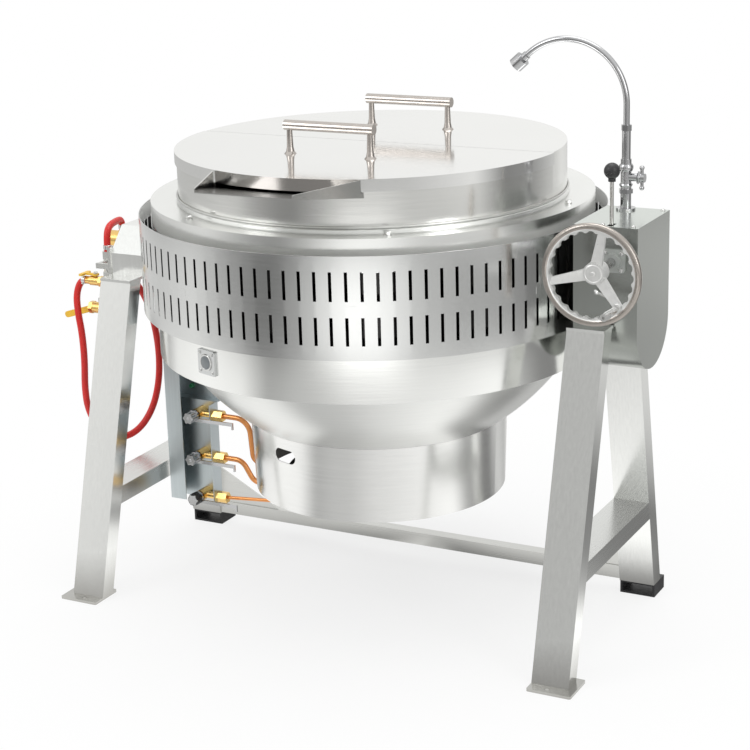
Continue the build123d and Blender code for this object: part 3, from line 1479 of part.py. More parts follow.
# Rotary union on the end of the left trunnion
jumper_port_x = -left_cover_face - 52
loop_port_x = -left_cover_face - 44
jumper_port_length = 7.0
union_port_length = 14.0
with BuildPart() as rotary_union:
    with BuildSketch(Plane.YZ.offset(union_end)):
        with Locations((trunnion_offset, trunnion_height)):
            Circle(union_radius)
    extrude(amount=-left_cover_face - union_end)
    with BuildSketch(Plane.YZ.offset(-union_bore_end)):
        with Locations((trunnion_offset, trunnion_height)):
            Circle(union_stub_radius + running_clearance)
    extrude(amount=union_bore_end - left_cover_face, mode=Mode.SUBTRACT)
    with Locations((jumper_port_x, trunnion_offset, trunnion_height + union_radius - 4)):
        Cylinder(9, jumper_port_length, align=(Align.CENTER, Align.CENTER, Align.MIN))
    with Locations((loop_port_x, trunnion_offset, trunnion_height - union_radius + 2.5)):
        Cylinder(9, union_port_length, align=(Align.CENTER, Align.CENTER, Align.MAX))
rotary_union.part.label = "rotary_union"
export_step(rotary_union.part, "parts/rotary_union.step")


# Hoses: straight runs joined by tangent arcs
def arc_radii(points):
    """The radius at each inner point: 0.45 of the shorter run over the tangent of half the turn."""
    radii = []
    for before, here, after in zip(points, points[1:], points[2:]):
        first = Vector(*here) - Vector(*before)
        second = Vector(*after) - Vector(*here)
        half_turn = math.radians(first.get_angle(second)) / 2
        radii.append(0.45 * min(first.length, second.length) / math.tan(half_turn))
    return radii


def hose(points):
    """A round hose along a route of points."""
    radii = arc_radii(points)
    print("hose radii", [round(radius, 1) for radius in radii])
    with BuildPart() as tube:
        with BuildLine() as route:
            FilletPolyline(*points, radius=radii)
        start = Vector(*points[1]) - Vector(*points[0])
        with BuildSketch(Plane(origin=points[0], z_dir=start)):
            Circle(hose_radius)
        sweep()
    length = sum(edge.length for edge in route.edges())
    print("hose length", round(length, 1), "volume error", round(tube.part.volume / (length * math.pi * hose_radius**2) - 1, 4))
    return tube


jumper_start = pipe_high
jumper_end = trunnion_height + union_radius - 4 + jumper_port_length
jumper_route = [
    (pipe_x, pipe_y, jumper_start),
    (pipe_x, pipe_y, jumper_start + 38),
    (pipe_x - 5, pipe_y + 20, jumper_start + 55),
    (jumper_port_x + 3, trunnion_offset - 26, jumper_start + 57),
    (jumper_port_x, trunnion_offset, jumper_start + 55),
    (jumper_port_x, trunnion_offset, jumper_end),
]
hose_jumper = hose(jumper_route)
hose_jumper.part.label = "hose_jumper"
export_step(hose_jumper.part, "parts/hose_jumper.step")

loop_start_x = ball_valve_x - 14 - ferrule_length
loop_end = trunnion_height - union_radius + 2.5 - union_port_length
loop_route = [
    (loop_start_x, pipe_y, branch_valve_z),
    (loop_start_x - 16, pipe_y, branch_valve_z),
    (-731, -106, 630),
    (-722, -116, 585),
    (-712, -120, 540),
    (-709, -122, 475),
    (-717, -119, 405),
    (-720, -108, 345),
    (-705, -84, 290),
    (-678, -48, 262),
    (-650, -8, 274),
    (-629, 26, 320),
    (-621, 48, 382),
    (-620, 56, 450),
    (-624, 52, 520),
    (-631, 38, 586),
    (-642, 12, 636),
    (loop_port_x, trunnion_offset, 672),
    (loop_port_x, trunnion_offset, loop_end),
]
hose_loop = hose(loop_route)
hose_loop.part.label = "hose_loop"
export_step(hose_loop.part, "parts/hose_loop.step")
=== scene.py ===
import bpy
import bmesh
import json
import math
from mathutils import Matrix, Vector


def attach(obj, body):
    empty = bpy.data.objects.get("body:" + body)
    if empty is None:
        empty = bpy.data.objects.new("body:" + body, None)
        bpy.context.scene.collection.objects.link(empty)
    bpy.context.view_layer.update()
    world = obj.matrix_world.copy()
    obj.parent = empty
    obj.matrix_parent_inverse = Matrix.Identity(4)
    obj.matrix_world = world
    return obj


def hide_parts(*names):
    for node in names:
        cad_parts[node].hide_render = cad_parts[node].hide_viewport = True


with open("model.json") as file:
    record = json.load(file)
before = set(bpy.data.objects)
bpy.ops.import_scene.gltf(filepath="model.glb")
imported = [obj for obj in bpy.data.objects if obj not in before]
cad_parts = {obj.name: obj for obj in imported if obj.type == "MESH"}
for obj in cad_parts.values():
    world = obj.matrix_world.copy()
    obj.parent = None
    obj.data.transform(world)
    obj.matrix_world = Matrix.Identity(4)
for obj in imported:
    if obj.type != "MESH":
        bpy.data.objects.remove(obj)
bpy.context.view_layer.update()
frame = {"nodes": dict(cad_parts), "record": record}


# Camera at the photograph's place, in metres, radians and pixels of the photograph
photo_width = 750
camera_place = (1.8807, -3.5842, 1.7218)
camera_turn = (0.4870, 0.2931, -0.0299)
focal_length = 1903.42
principal_point = (371.06, 369.29)
sensor_width = 36


def place_camera():
    yaw, pitch, roll = camera_turn
    flat = math.cos(pitch)
    forward = Vector((-math.sin(yaw) * flat, math.cos(yaw) * flat, -math.sin(pitch)))
    right = Vector((math.cos(yaw), math.sin(yaw), 0))
    up = right.cross(forward)
    right_rolled = math.cos(roll) * right + math.sin(roll) * up
    up_rolled = -math.sin(roll) * right + math.cos(roll) * up
    data = bpy.data.cameras.new("camera")
    data.sensor_width = sensor_width
    data.lens = focal_length * sensor_width / photo_width
    data.shift_x = (photo_width / 2 - principal_point[0]) / photo_width
    data.shift_y = (principal_point[1] - photo_width / 2) / photo_width
    data.clip_end = 100
    camera = bpy.data.objects.new("camera", data)
    bpy.context.scene.collection.objects.link(camera)
    turn = Matrix((right_rolled, up_rolled, -forward)).transposed()
    camera.matrix_world = Matrix.Translation(camera_place) @ turn.to_4x4()
    bpy.context.scene.camera = camera


place_camera()


# Node helpers
class Tree:
    """Short calls for the nodes of a tree."""

    def __init__(self, tree):
        self.tree = tree

    def add(self, kind, operation=None):
        node = self.tree.nodes.new(kind)
        if operation is not None:
            node.operation = operation
        return node

    def link(self, output, target):
        self.tree.links.new(output, target)

    def fill(self, socket, value):
        """A number, a colour or the output of another node into a socket."""
        if isinstance(value, (int, float)):
            socket.default_value = value
        elif isinstance(value, tuple):
            socket.default_value = (*value, 1)
        else:
            self.link(value, socket)

    def math(self, operation, *values):
        node = self.add("ShaderNodeMath", operation)
        for socket, value in zip(node.inputs, values):
            self.fill(socket, value)
        return node.outputs[0]

    def split(self, vector):
        """The three parts of a vector."""
        node = self.add("ShaderNodeSeparateXYZ")
        self.link(vector, node.inputs[0])
        return node.outputs

    def ramp(self, factor, stops):
        node = self.add("ShaderNodeValToRGB")
        elements = node.color_ramp.elements
        while len(elements) < len(stops):
            elements.new(0.5)
        for element, (place, value) in zip(elements, stops):
            element.position = place
            if isinstance(value, (int, float)):
                value = (value, value, value)
            element.color = (*value, 1)
        self.link(factor, node.inputs["Fac"])
        return node.outputs["Color"]

    def mix(self, factor, first, second, blend="MIX"):
        node = self.add("ShaderNodeMix")
        node.data_type = "RGBA"
        node.blend_type = blend
        for index, value in ((0, factor), (6, first), (7, second)):
            self.fill(node.inputs[index], value)
        return node.outputs[2]


class Nodes(Tree):
    """A material with short calls for its nodes."""

    def __init__(self, name):
        self.material = bpy.data.materials.new(name)
        self.material.use_nodes = True
        super().__init__(self.material.node_tree)
        self.shader = self.tree.nodes["Principled BSDF"]
        self.object = self.add("ShaderNodeTexCoord").outputs["Object"]

    def normal(self):
        return self.add("ShaderNodeTexCoord").outputs["Normal"]

    def mapped(self, vector, scale):
        node = self.add("ShaderNodeMapping")
        node.inputs["Scale"].default_value = scale
        self.link(vector, node.inputs["Vector"])
        return node.outputs[0]

    def noise(self, vector, scale, detail, rough):
        node = self.add("ShaderNodeTexNoise")
        node.inputs["Scale"].default_value = scale
        node.inputs["Detail"].default_value = detail
        node.inputs["Roughness"].default_value = rough
        self.link(vector, node.inputs["Vector"])
        return node.outputs["Fac"]

    def bump(self, height, strength, distance):
        node = self.add("ShaderNodeBump")
        node.inputs["Strength"].default_value = strength
        node.inputs["Distance"].default_value = distance
        self.link(height, node.inputs["Height"])
        self.link(node.outputs[0], self.shader.inputs["Normal"])

    def between(self, low, high, upward):
        """1 between two heights, and on faces that look up only where upward is true."""
        height = self.split(self.object)[2]
        inside = self.math("MULTIPLY", self.math("GREATER_THAN", height, low),
                           self.math("LESS_THAN", height, high))
        if upward:
            facing = self.split(self.normal())[2]
            inside = self.math("MULTIPLY", inside, self.math("GREATER_THAN", facing, 0.5))
        return inside

    def inward(self):
        """1 on faces that look towards the Z axis."""
        flat = self.add("ShaderNodeVectorMath", "MULTIPLY")
        self.link(self.object, flat.inputs[0])
        flat.inputs[1].default_value = (1, 1, 0)
        dot = self.add("ShaderNodeVectorMath", "DOT_PRODUCT")
        self.link(self.normal(), dot.inputs[0])
        self.link(flat.outputs[0], dot.inputs[1])
        return self.math("LESS_THAN", dot.outputs["Value"], -0.02)

    def below(self, height):
        """1 under a height."""
        return self.math("LESS_THAN", self.split(self.object)[2], height)

    def length(self, first, second):
        """The length of a vector of two parts."""
        square = self.math("ADD", self.math("MULTIPLY", first, first), self.math("MULTIPLY", second, second))
        return self.math("SQRT", square)

    def round_vector(self):
        """Radius, height and a little of the angle, for marks that run round the Z axis."""
        x, y, z = self.split(self.object)
        wave = self.math("SINE", self.math("MULTIPLY", self.math("ARCTAN2", y, x), 3))
        join = self.add("ShaderNodeCombineXYZ")
        self.link(self.length(x, y), join.inputs[0])
        self.link(z, join.inputs[1])
        self.link(self.math("MULTIPLY", wave, 0.006), join.inputs[2])
        return join.outputs[0]


def scaled(color, factor):
    return tuple(min(1, channel * factor) for channel in color)


def brushed(name, color, scale, rough, grain, tone, soil=None, painted_shade_and_light=None, inner=None, satin=None):
    """Brushed steel: fine streaks along one direction, or round the Z axis where scale is None.

    soil is (low, high, colour): dirt that grows towards the floor.
    The painted shade and light argument is (low, high, colour, upward): a colour that multiplies the metal
    between two heights, and only on faces that look up where upward is true. Below 1 it is painted shade,
    above 1 painted light.
    inner is (colour, metallic, height, colour below that height), for faces that look towards the Z axis;
    a near black colour there is painted shade.
    satin is (height, roughness), for the metal below a height.
    """
    nodes = Nodes(name)
    base = nodes.round_vector() if scale is None else nodes.mapped(nodes.object, scale)
    streaks = nodes.noise(base, grain, 4, 0.7)
    clouds = nodes.noise(nodes.object, 3.2, 3, 0.5)
    tint = nodes.mix(nodes.ramp(streaks, ((0.2, 0.0), (0.8, 1.0))),
                     scaled(color, 1 - tone), scaled(color, 1 + tone * 0.5))
    tint = nodes.mix(nodes.ramp(clouds, ((0.35, 0.0), (0.7, 0.35))), tint, scaled(color, 0.93))
    if soil is not None:
        low, high, dirt = soil
        height = nodes.split(nodes.object)[2]
        edge = nodes.math("ADD", height, nodes.math("MULTIPLY", clouds, (high - low) * 1.2))
        amount = nodes.ramp(nodes.math("DIVIDE", nodes.math("SUBTRACT", high * 1.6, edge), high - low),
                            ((0.0, 0.0), (1.0, 0.75)))
        tint = nodes.mix(amount, tint, dirt)
    if painted_shade_and_light is not None:
        # painted shade where the multiplying colour is below 1, painted light where it is above 1
        low, high, painted_multiplier, upward = painted_shade_and_light
        tint = nodes.mix(nodes.between(low, high, upward), tint, painted_multiplier, "MULTIPLY")
    gloss = nodes.ramp(nodes.mix(0.5, streaks, clouds), ((0.3, rough[0]), (0.7, rough[1])))
    nodes.shader.inputs["Metallic"].default_value = 1.0
    if inner is not None:
        # faces that look towards the Z axis take the inner colours; the near black ones are painted shade
        inner_color, metallic, edge_height, lower_color = inner
        inside = nodes.inward()
        tint = nodes.mix(inside, tint, nodes.mix(nodes.below(edge_height), inner_color, lower_color))
        gloss = nodes.mix(inside, gloss, (0.6, 0.6, 0.6))
        nodes.link(nodes.ramp(inside, ((0.0, 1.0), (1.0, metallic))), nodes.shader.inputs["Metallic"])
    if satin is not None:
        satin_height, satin_rough = satin
        gloss = nodes.mix(nodes.below(satin_height), gloss, (satin_rough,) * 3)
    nodes.link(tint, nodes.shader.inputs["Base Color"])
    nodes.link(gloss, nodes.shader.inputs["Roughness"])
    nodes.bump(streaks, 0.05, 0.0003)
    return nodes.material


def polished(name, color, rough, spots=60, tone=0.06):
    """Polished or plated metal with faint smears."""
    nodes = Nodes(name)
    smears = nodes.noise(nodes.object, spots, 3, 0.6)
    tint = nodes.mix(smears, scaled(color, 1 - tone), scaled(color, 1 + tone))
    nodes.link(tint, nodes.shader.inputs["Base Color"])
    nodes.shader.inputs["Metallic"].default_value = 1.0
    nodes.link(nodes.ramp(smears, ((0.3, rough[0]), (0.75, rough[1]))), nodes.shader.inputs["Roughness"])
    nodes.bump(nodes.noise(nodes.object, 320, 2, 0.5), 0.05, 0.0003)
    return nodes.material


def cast(name, color, rough=(0.45, 0.65), grain=420, metallic=0.6, strength=0.35):
    """Cast metal with a fine pitted skin."""
    nodes = Nodes(name)
    pits = nodes.noise(nodes.object, grain, 4, 0.65)
    clouds = nodes.noise(nodes.object, 18, 3, 0.5)
    tint = nodes.mix(nodes.ramp(clouds, ((0.35, 0.0), (0.7, 1.0))), scaled(color, 0.8), color)
    tint = nodes.mix(nodes.ramp(pits, ((0.55, 0.0), (0.8, 0.35))), tint, scaled(color, 0.5))
    nodes.link(tint, nodes.shader.inputs["Base Color"])
    nodes.shader.inputs["Metallic"].default_value = metallic
    nodes.link(nodes.ramp(pits, ((0.3, rough[0]), (0.7, rough[1]))), nodes.shader.inputs["Roughness"])
    nodes.bump(pits, strength, 0.0006)
    return nodes.material


def plain(name, color, rough=(0.35, 0.5), grain=160, tone=0.15, strength=0.2, metallic=0.0):
    """Plastic, rubber or paint with a fine skin and slight wear."""
    nodes = Nodes(name)
    skin = nodes.noise(nodes.object, grain, 4, 0.6)
    clouds = nodes.noise(nodes.object, 22, 3, 0.55)
    tint = nodes.mix(nodes.ramp(clouds, ((0.3, 0.0), (0.75, 1.0))), scaled(color, 1 - tone), color)
    tint = nodes.mix(nodes.ramp(skin, ((0.62, 0.0), (0.8, tone))), tint, (0.5, 0.48, 0.44))
    nodes.link(tint, nodes.shader.inputs["Base Color"])
    nodes.shader.inputs["Metallic"].default_value = metallic
    nodes.link(nodes.ramp(skin, ((0.3, rough[0]), (0.7, rough[1]))), nodes.shader.inputs["Roughness"])
    nodes.bump(skin, strength, 0.0004)
    return nodes.material


# Scales that stretch the streaks along an axis
along_x = (0.008, 1, 1)
along_y = (1, 0.008, 1)
along_z = (1, 1, 0.008)

# Looks that change at a height in metres, in the order that brushed gives for each kind
feet_soil = (0.0, 0.10, (0.30, 0.29, 0.27))
# painted shade: the jacket behind the slotted shroud is darkened to near black between these heights
painted_shade_behind_slots = (0.674, 0.838, (0.036, 0.035, 0.035), False)
dish_satin = (0.5705, 0.32)
# inner faces of the shroud: pale matte steel above 0.842 m, and near black below it, which is painted shade
# in the gap
shroud_inside_matte_and_painted_shade = ((0.85, 0.85, 0.84), 0.1, 0.842, (0.05, 0.05, 0.05))
# painted light: the upward faces of the gearbox cover are made 1.75 times lighter than its other faces
cover_painted_top_light = (0.5, 1.0, (1.75, 1.78, 1.78), True)
# painted shade: the inner faces of the burner skirt are near black
skirt_inside_painted_shade = ((0.03, 0.028, 0.026), 0.2, 0.300, (0.05, 0.046, 0.042))
# painted shade: upward faces of the spout between these heights are darkened to about a fifth
spout_painted_shade = (0.90, 1.0045, (0.20, 0.18, 0.17), True)

materials = {
    "frame": brushed("frame_steel", (0.90, 0.905, 0.89), along_z, (0.13, 0.20), 240, 0.08, soil=feet_soil),
    "shell": brushed("shell_steel", (0.86, 0.865, 0.85), None, (0.12, 0.19), 240, 0.05,
                     painted_shade_and_light=painted_shade_behind_slots, satin=dish_satin),
    "slotted_sheet": brushed("shroud_steel", (0.68, 0.685, 0.68), along_x, (0.15, 0.22), 260, 0.06,
                             inner=shroud_inside_matte_and_painted_shade),
    "cover_sheet": brushed("cover_steel", (0.37, 0.385, 0.365), along_z, (0.18, 0.25), 260, 0.04,
                           painted_shade_and_light=cover_painted_top_light),
    "lid_sheet": brushed("lid_steel", (0.90, 0.90, 0.89), along_x, (0.09, 0.14), 260, 0.04),
    "polished_steel": polished("warm_polished_steel", (0.50, 0.46, 0.43), (0.16, 0.26)),
    "chrome": polished("chrome", (0.50, 0.50, 0.51), (0.08, 0.18)),
    "cast_iron": cast("dark_cast", (0.16, 0.17, 0.17)),
    "cast_aluminium": cast("bright_casting", (0.52, 0.54, 0.52), (0.36, 0.50), 300, 0.5, 0.14),
    "black_plastic": plain("black_plastic", (0.022, 0.022, 0.024)),
    "lock_steel": polished("rod_steel", (0.66, 0.65, 0.63), (0.18, 0.30)),
    "worm_steel": polished("worm_steel", (0.50, 0.50, 0.50), (0.20, 0.32)),
    "bronze": polished("bronze", (0.62, 0.42, 0.20), (0.22, 0.34)),
    "brass": polished("brass", (0.84, 0.56, 0.20), (0.18, 0.32)),
    "pipe": brushed("pipe_steel", (0.70, 0.70, 0.68), along_z, (0.20, 0.30), 260, 0.08),
    "copper": polished("copper", (0.78, 0.33, 0.12), (0.28, 0.42), 40, 0.14),
    "yellow_paint": plain("yellow_paint", (0.86, 0.52, 0.03), (0.30, 0.45)),
    "hose_rubber": plain("red_hose", (0.66, 0.014, 0.010), (0.30, 0.42), 240, 0.12),
    "port_plate": brushed("port_steel", (0.66, 0.67, 0.67), along_x, (0.24, 0.36), 300, 0.10),
    "rail": brushed("rail_steel", (0.74, 0.745, 0.73), along_y, (0.22, 0.30), 260, 0.07),
    "beam": brushed("beam_steel", (0.66, 0.66, 0.64), along_x, (0.24, 0.34), 260, 0.08),
    "panel": brushed("panel_steel", (0.56, 0.61, 0.63), along_z, (0.28, 0.40), 220, 0.10),
    "skirt": brushed("skirt_steel", (0.86, 0.86, 0.85), None, (0.18, 0.25), 220, 0.06, inner=skirt_inside_painted_shade),
    "inside": brushed("pot_inside_steel", (0.84, 0.84, 0.82), None, (0.14, 0.20), 240, 0.05),
    "rim": brushed("rim_steel", (0.88, 0.885, 0.87), None, (0.23, 0.27), 60, 0.02),
    "spout": brushed("spout_steel", (0.82, 0.82, 0.80), along_x, (0.16, 0.22), 240, 0.05, painted_shade_and_light=spout_painted_shade),
    "screw": polished("screw_steel", (0.66, 0.66, 0.65), (0.18, 0.30)),
    "green": plain("green_paint", (0.02, 0.20, 0.08), (0.30, 0.45)),
    "glass": plain("grey_glass", (0.20, 0.22, 0.23), (0.10, 0.18), 90, 0.2, 0.05),
    "white": plain("white_plastic", (0.80, 0.80, 0.78), (0.30, 0.42), 160, 0.08),
    "weld": cast("weld_bead", (0.72, 0.72, 0.70), (0.26, 0.38), 520, 1.0, 0.2),
}
wheel_centre = (0.602, 0.829)
wheel_ring_start = 0.0905


def wheel_material():
    """A bright rough casting with a smooth warm grey outer ring."""
    nodes = Nodes("handwheel_casting")
    x, _, z = nodes.split(nodes.object)
    across = nodes.math("SUBTRACT", x, wheel_centre[0])
    up = nodes.math("SUBTRACT", z, wheel_centre[1])
    ring = nodes.math("GREATER_THAN", nodes.length(across, up), wheel_ring_start)
    pits = nodes.noise(nodes.object, 300, 4, 0.65)
    clouds = nodes.noise(nodes.object, 60, 3, 0.5)
    bright = nodes.mix(clouds, (0.66, 0.66, 0.65), (0.84, 0.84, 0.83))
    warm = nodes.mix(clouds, (0.36, 0.33, 0.30), (0.46, 0.42, 0.39))
    nodes.link(nodes.mix(ring, bright, warm), nodes.shader.inputs["Base Color"])
    nodes.link(nodes.ramp(ring, ((0.0, 0.75), (1.0, 0.9))), nodes.shader.inputs["Metallic"])
    rough = nodes.ramp(pits, ((0.3, 0.27), (0.7, 0.40)))
    rough = nodes.math("ADD", nodes.math("MULTIPLY", ring, -0.14), rough)
    nodes.link(rough, nodes.shader.inputs["Roughness"])
    nodes.bump(pits, 0.40, 0.0008)
    return nodes.material


materials["wheel"] = wheel_material()

# Nodes that look otherwise than the rest of their slot
special = {
    "handwheel": "wheel", "rim_ring": "rim", "spout": "spout", "crank_grip": "screw", "cross_beam": "beam",
    "side_rail_left": "rail", "side_rail_right": "rail", "bearing_cover": "frame", "valve_panel": "panel",
    "burner_skirt": "skirt", "inner_pot": "inside",
}
for entry in frame["record"]["subparts"]:
    node = entry["node"]
    chosen = materials[special.get(node, entry["material_slot"])]
    data = frame["nodes"][node].data
    data.materials.clear()
    data.materials.append(chosen)


# Piece helpers
def add_piece(name, mesh_builder, material, body):
    """A piece that rides on a body, with its sharp edges kept."""
    mesh = bpy.data.meshes.new(name)
    shape = bmesh.new()
    mesh_builder(shape)
    bmesh.ops.recalc_face_normals(shape, faces=shape.faces)
    shape.to_mesh(mesh)
    shape.free()
    for face in mesh.polygons:
        face.use_smooth = True
    mesh.set_sharp_from_angle(angle=math.radians(35))
    mesh.materials.append(materials[material])
    piece = bpy.data.objects.new(name, mesh)
    bpy.context.scene.collection.objects.link(piece)
    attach(piece, body)


def turned(shape, profile, place, axis, count):
    """A body of revolution: (radius, height) pairs along an axis from a place."""
    axis = Vector(axis).normalized()
    side = axis.orthogonal().normalized()
    other = axis.cross(side)
    rings = []
    for radius, height in profile:
        centre = Vector(place) + axis * height
        ring = []
        for step in range(count):
            angle = 2 * math.pi * step / count
            out = side * radius * math.cos(angle) + other * radius * math.sin(angle)
            ring.append(shape.verts.new(centre + out))
        rings.append(ring)
    for first, second in zip(rings, rings[1:]):
        for step in range(count):
            after = (step + 1) % count
            shape.faces.new((first[step], first[after], second[after], second[step]))
    shape.faces.new(list(reversed(rings[0])))
    shape.faces.new(rings[-1])


def hexagon_head(shape, place, axis, size, height):
    """A hexagon head with a washer face and a chamfered top."""
    turned(shape, ((size * 0.62, 0), (size * 0.62, height * 0.15)), place, axis, 24)
    turned(shape, ((size * 0.5, height * 0.15), (size * 0.54, height * 0.3), (size * 0.54, height * 0.85),
                   (size * 0.44, height)), place, axis, 6)


def pan_head(shape, place, axis, size, height):
    """A domed screw head."""
    turned(shape, ((size * 0.5, 0), (size * 0.5, height * 0.4), (size * 0.4, height * 0.8),
                   (size * 0.22, height)), place, axis, 20)


def ring_bead(shape, radius, height, thick, count=180, corners=8):
    """A weld bead round the Z axis with a slightly uneven crest."""
    rows = []
    for step in range(count):
        angle = 2 * math.pi * step / count
        swell = thick * (1 + 0.10 * math.sin(step * 2.9) + 0.06 * math.sin(step * 1.7))
        row = []
        for corner in range(corners):
            around = 2 * math.pi * corner / corners
            far = radius + swell * math.cos(around)
            up = height + swell * math.sin(around)
            row.append(shape.verts.new((far * math.cos(angle), far * math.sin(angle), up)))
        rows.append(row)
    for step, first in enumerate(rows):
        second = rows[(step + 1) % count]
        for corner in range(corners):
            after = (corner + 1) % corners
            shape.faces.new((first[corner], first[after], second[after], second[corner]))


def sphere_profile(radius, steps=12):
    """The profile of a ball about its centre."""
    angles = [math.pi * step / steps for step in range(steps + 1)]
    return [(max(0.0005, radius * math.sin(angle)), -radius * math.cos(angle)) for angle in angles]


# Hoses, on the same route points as the CAD tubes
hose_radius = 0.008
jumper_route = [
    (-0.640, -0.097, 0.738), (-0.640, -0.097, 0.776), (-0.645, -0.077, 0.793), (-0.653, -0.036, 0.795),
    (-0.656, -0.010, 0.793), (-0.656, -0.010, 0.768),
]
loop_route = [
    (-0.704, -0.097, 0.664), (-0.720, -0.097, 0.664), (-0.731, -0.106, 0.630), (-0.722, -0.116, 0.585),
    (-0.712, -0.120, 0.540), (-0.709, -0.122, 0.475), (-0.717, -0.119, 0.405), (-0.720, -0.108, 0.345),
    (-0.705, -0.084, 0.290), (-0.678, -0.048, 0.262), (-0.650, -0.008, 0.274), (-0.629, 0.026, 0.320),
    (-0.621, 0.048, 0.382), (-0.620, 0.056, 0.450), (-0.624, 0.052, 0.520), (-0.631, 0.038, 0.586),
    (-0.642, 0.012, 0.636), (-0.648, -0.010, 0.672), (-0.648, -0.010, 0.7135),
]


def hose(name, points, node):
    """A round rubber hose in place of a CAD node."""
    curve = bpy.data.curves.new(name, "CURVE")
    curve.dimensions = "3D"
    curve.bevel_depth = hose_radius
    curve.bevel_resolution = 5
    curve.resolution_u = 10
    curve.use_fill_caps = True
    spline = curve.splines.new("NURBS")
    spline.points.add(len(points) - 1)
    for target, source in zip(spline.points, points):
        target.co = (*source, 1)
    spline.order_u = 3
    spline.use_endpoint_u = True
    curve.materials.append(materials["hose_rubber"])
    piece = bpy.data.objects.new(name, curve)
    bpy.context.scene.collection.objects.link(piece)
    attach(piece, "frame")
    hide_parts(node)


hose("jumper_hose", jumper_route, "hose_jumper")
hose("loop_hose", loop_route, "hose_loop")


# Pieces on the shell
bolt_circle = 0.449
rim_height = 0.906
collar_radius = 0.4205
port_heading = math.radians(-109)
port_out = Vector((math.cos(port_heading), math.sin(port_heading), 0))
port_across = Vector((-port_out.y, port_out.x, 0))
port_radius, port_height = 0.4805, 0.624
port_middle = port_out * port_radius + Vector((0, 0, port_height))
port_screw_offset = 0.019


def rim_bolts(shape):
    for step in range(6):
        angle = math.radians(-119 + 60 * step)
        place = (bolt_circle * math.cos(angle), bolt_circle * math.sin(angle), rim_height)
        hexagon_head(shape, place, (0, 0, 1), 0.013, 0.007)


def port_screws(shape):
    for across in (-port_screw_offset, port_screw_offset):
        for up in (-port_screw_offset, port_screw_offset):
            place = port_middle + port_across * across + Vector((0, 0, up))
            pan_head(shape, place, port_out, 0.007, 0.0022)


def port_glass(shape):
    turned(shape, ((0.0140, 0.0), (0.0140, 0.0020), (0.0125, 0.0026)), port_middle, port_out, 40)


def port_ring(shape):
    turned(shape, ((0.0182, -0.001), (0.0182, 0.0012), (0.0172, 0.0022), (0.0150, 0.0022), (0.0150, 0.0012)),
           port_middle, port_out, 40)


def collar_weld(shape):
    ring_bead(shape, collar_radius, 0.9150, 0.0022)


add_piece("rim_bolts", rim_bolts, "screw", "kettle")
add_piece("port_screws", port_screws, "screw", "kettle")
add_piece("port_ring", port_ring, "screw", "kettle")
add_piece("port_glass", port_glass, "glass", "kettle")
add_piece("collar_weld", collar_weld, "weld", "kettle")


# Pieces on the gear side
wheel_x, wheel_z = wheel_centre
forward = (0, -1, 0)
cover_height = 0.896
flange_face = -0.139
flange_screw_offset = 0.017
hub_front = (wheel_x, -0.248, wheel_z)
lock_x, lock_y = 0.5885, -0.112


def gearbox_screws(shape):
    for x, y in ((0.573, 0.020), (0.572, -0.118), (0.636, -0.118), (0.640, 0.046)):
        pan_head(shape, (x, y, cover_height), (0, 0, 1), 0.009, 0.004)


def flange_screws(shape):
    for across in (-flange_screw_offset, flange_screw_offset):
        for up in (-flange_screw_offset, flange_screw_offset):
            hexagon_head(shape, (wheel_x + across, flange_face, wheel_z + up), forward, 0.007, 0.004)


def grease_fitting(shape):
    turned(shape, ((0.0035, 0.0), (0.0035, 0.010), (0.0055, 0.010), (0.0055, 0.016), (0.002, 0.020)),
           (0.569, -0.131, 0.765), forward, 16)
    turned(shape, ((0.0028, 0.0), (0.0028, 0.030), (0.001, 0.032)),
           (0.569, -0.143, 0.765), (0.93, 0, -0.36), 12)


def hub_face(shape):
    turned(shape, ((0.0185, 0.0), (0.0185, 0.0012), (0.0165, 0.0020), (0.0155, 0.0012)),
           hub_front, forward, 40)
    turned(shape, ((0.0050, 0.0), (0.0050, 0.0030), (0.0035, 0.0042)), hub_front, forward, 20)


def lock_ball(shape):
    turned(shape, sphere_profile(0.0162), (lock_x, lock_y, 1.004), (0, 0, 1), 32)
    turned(shape, ((0.0075, 0.0), (0.0075, 0.010)), (lock_x, lock_y, 0.983), (0, 0, 1), 20)


add_piece("gearbox_screws", gearbox_screws, "screw", "frame")
add_piece("flange_screws", flange_screws, "screw", "frame")
add_piece("grease_fitting", grease_fitting, "screw", "frame")
add_piece("hub_face", hub_face, "wheel", "handwheel")
add_piece("lock_ball", lock_ball, "black_plastic", "lock_lever")


# Pieces on the tap
tap_x, tap_y, tap_height = 0.564, 0.035, 0.963
neck_radius = 0.128
neck_bend_height = 1.110
neck_bend = math.radians(131)
neck_straight_end = 0.006
nozzle_length = 0.034
nozzle_way = Vector((-math.sin(neck_bend), 0, math.cos(neck_bend)))
nozzle_end = Vector((tap_x - neck_radius + neck_radius * math.cos(neck_bend), tap_y,
                     neck_bend_height + neck_radius * math.sin(neck_bend)))
nozzle_end = nozzle_end + nozzle_way * (neck_straight_end + nozzle_length)


def tap_nuts(shape):
    hexagon_head(shape, (0.590, tap_y, tap_height), (1, 0, 0), 0.021, 0.006)
    turned(shape, ((0.0135, 0.0), (0.0150, 0.004), (0.0150, 0.010), (0.0125, 0.014)),
           (tap_x, tap_y, 0.976), (0, 0, 1), 32)
    turned(shape, ((0.0125, 0.0), (0.0140, 0.003), (0.0125, 0.006)), (tap_x, tap_y, 0.944), (0, 0, 1), 32)


def lever_ends(shape):
    for way in (-1, 1):
        turned(shape, sphere_profile(0.0052, 8), (0.598, tap_y, tap_height + way * 0.0205), (0, 0, 1), 16)


def nozzle_ring(shape):
    turned(shape, ((0.0135, -0.0012), (0.0135, 0.0004), (0.0115, 0.0004), (0.0115, -0.0012)),
           nozzle_end, nozzle_way, 40)


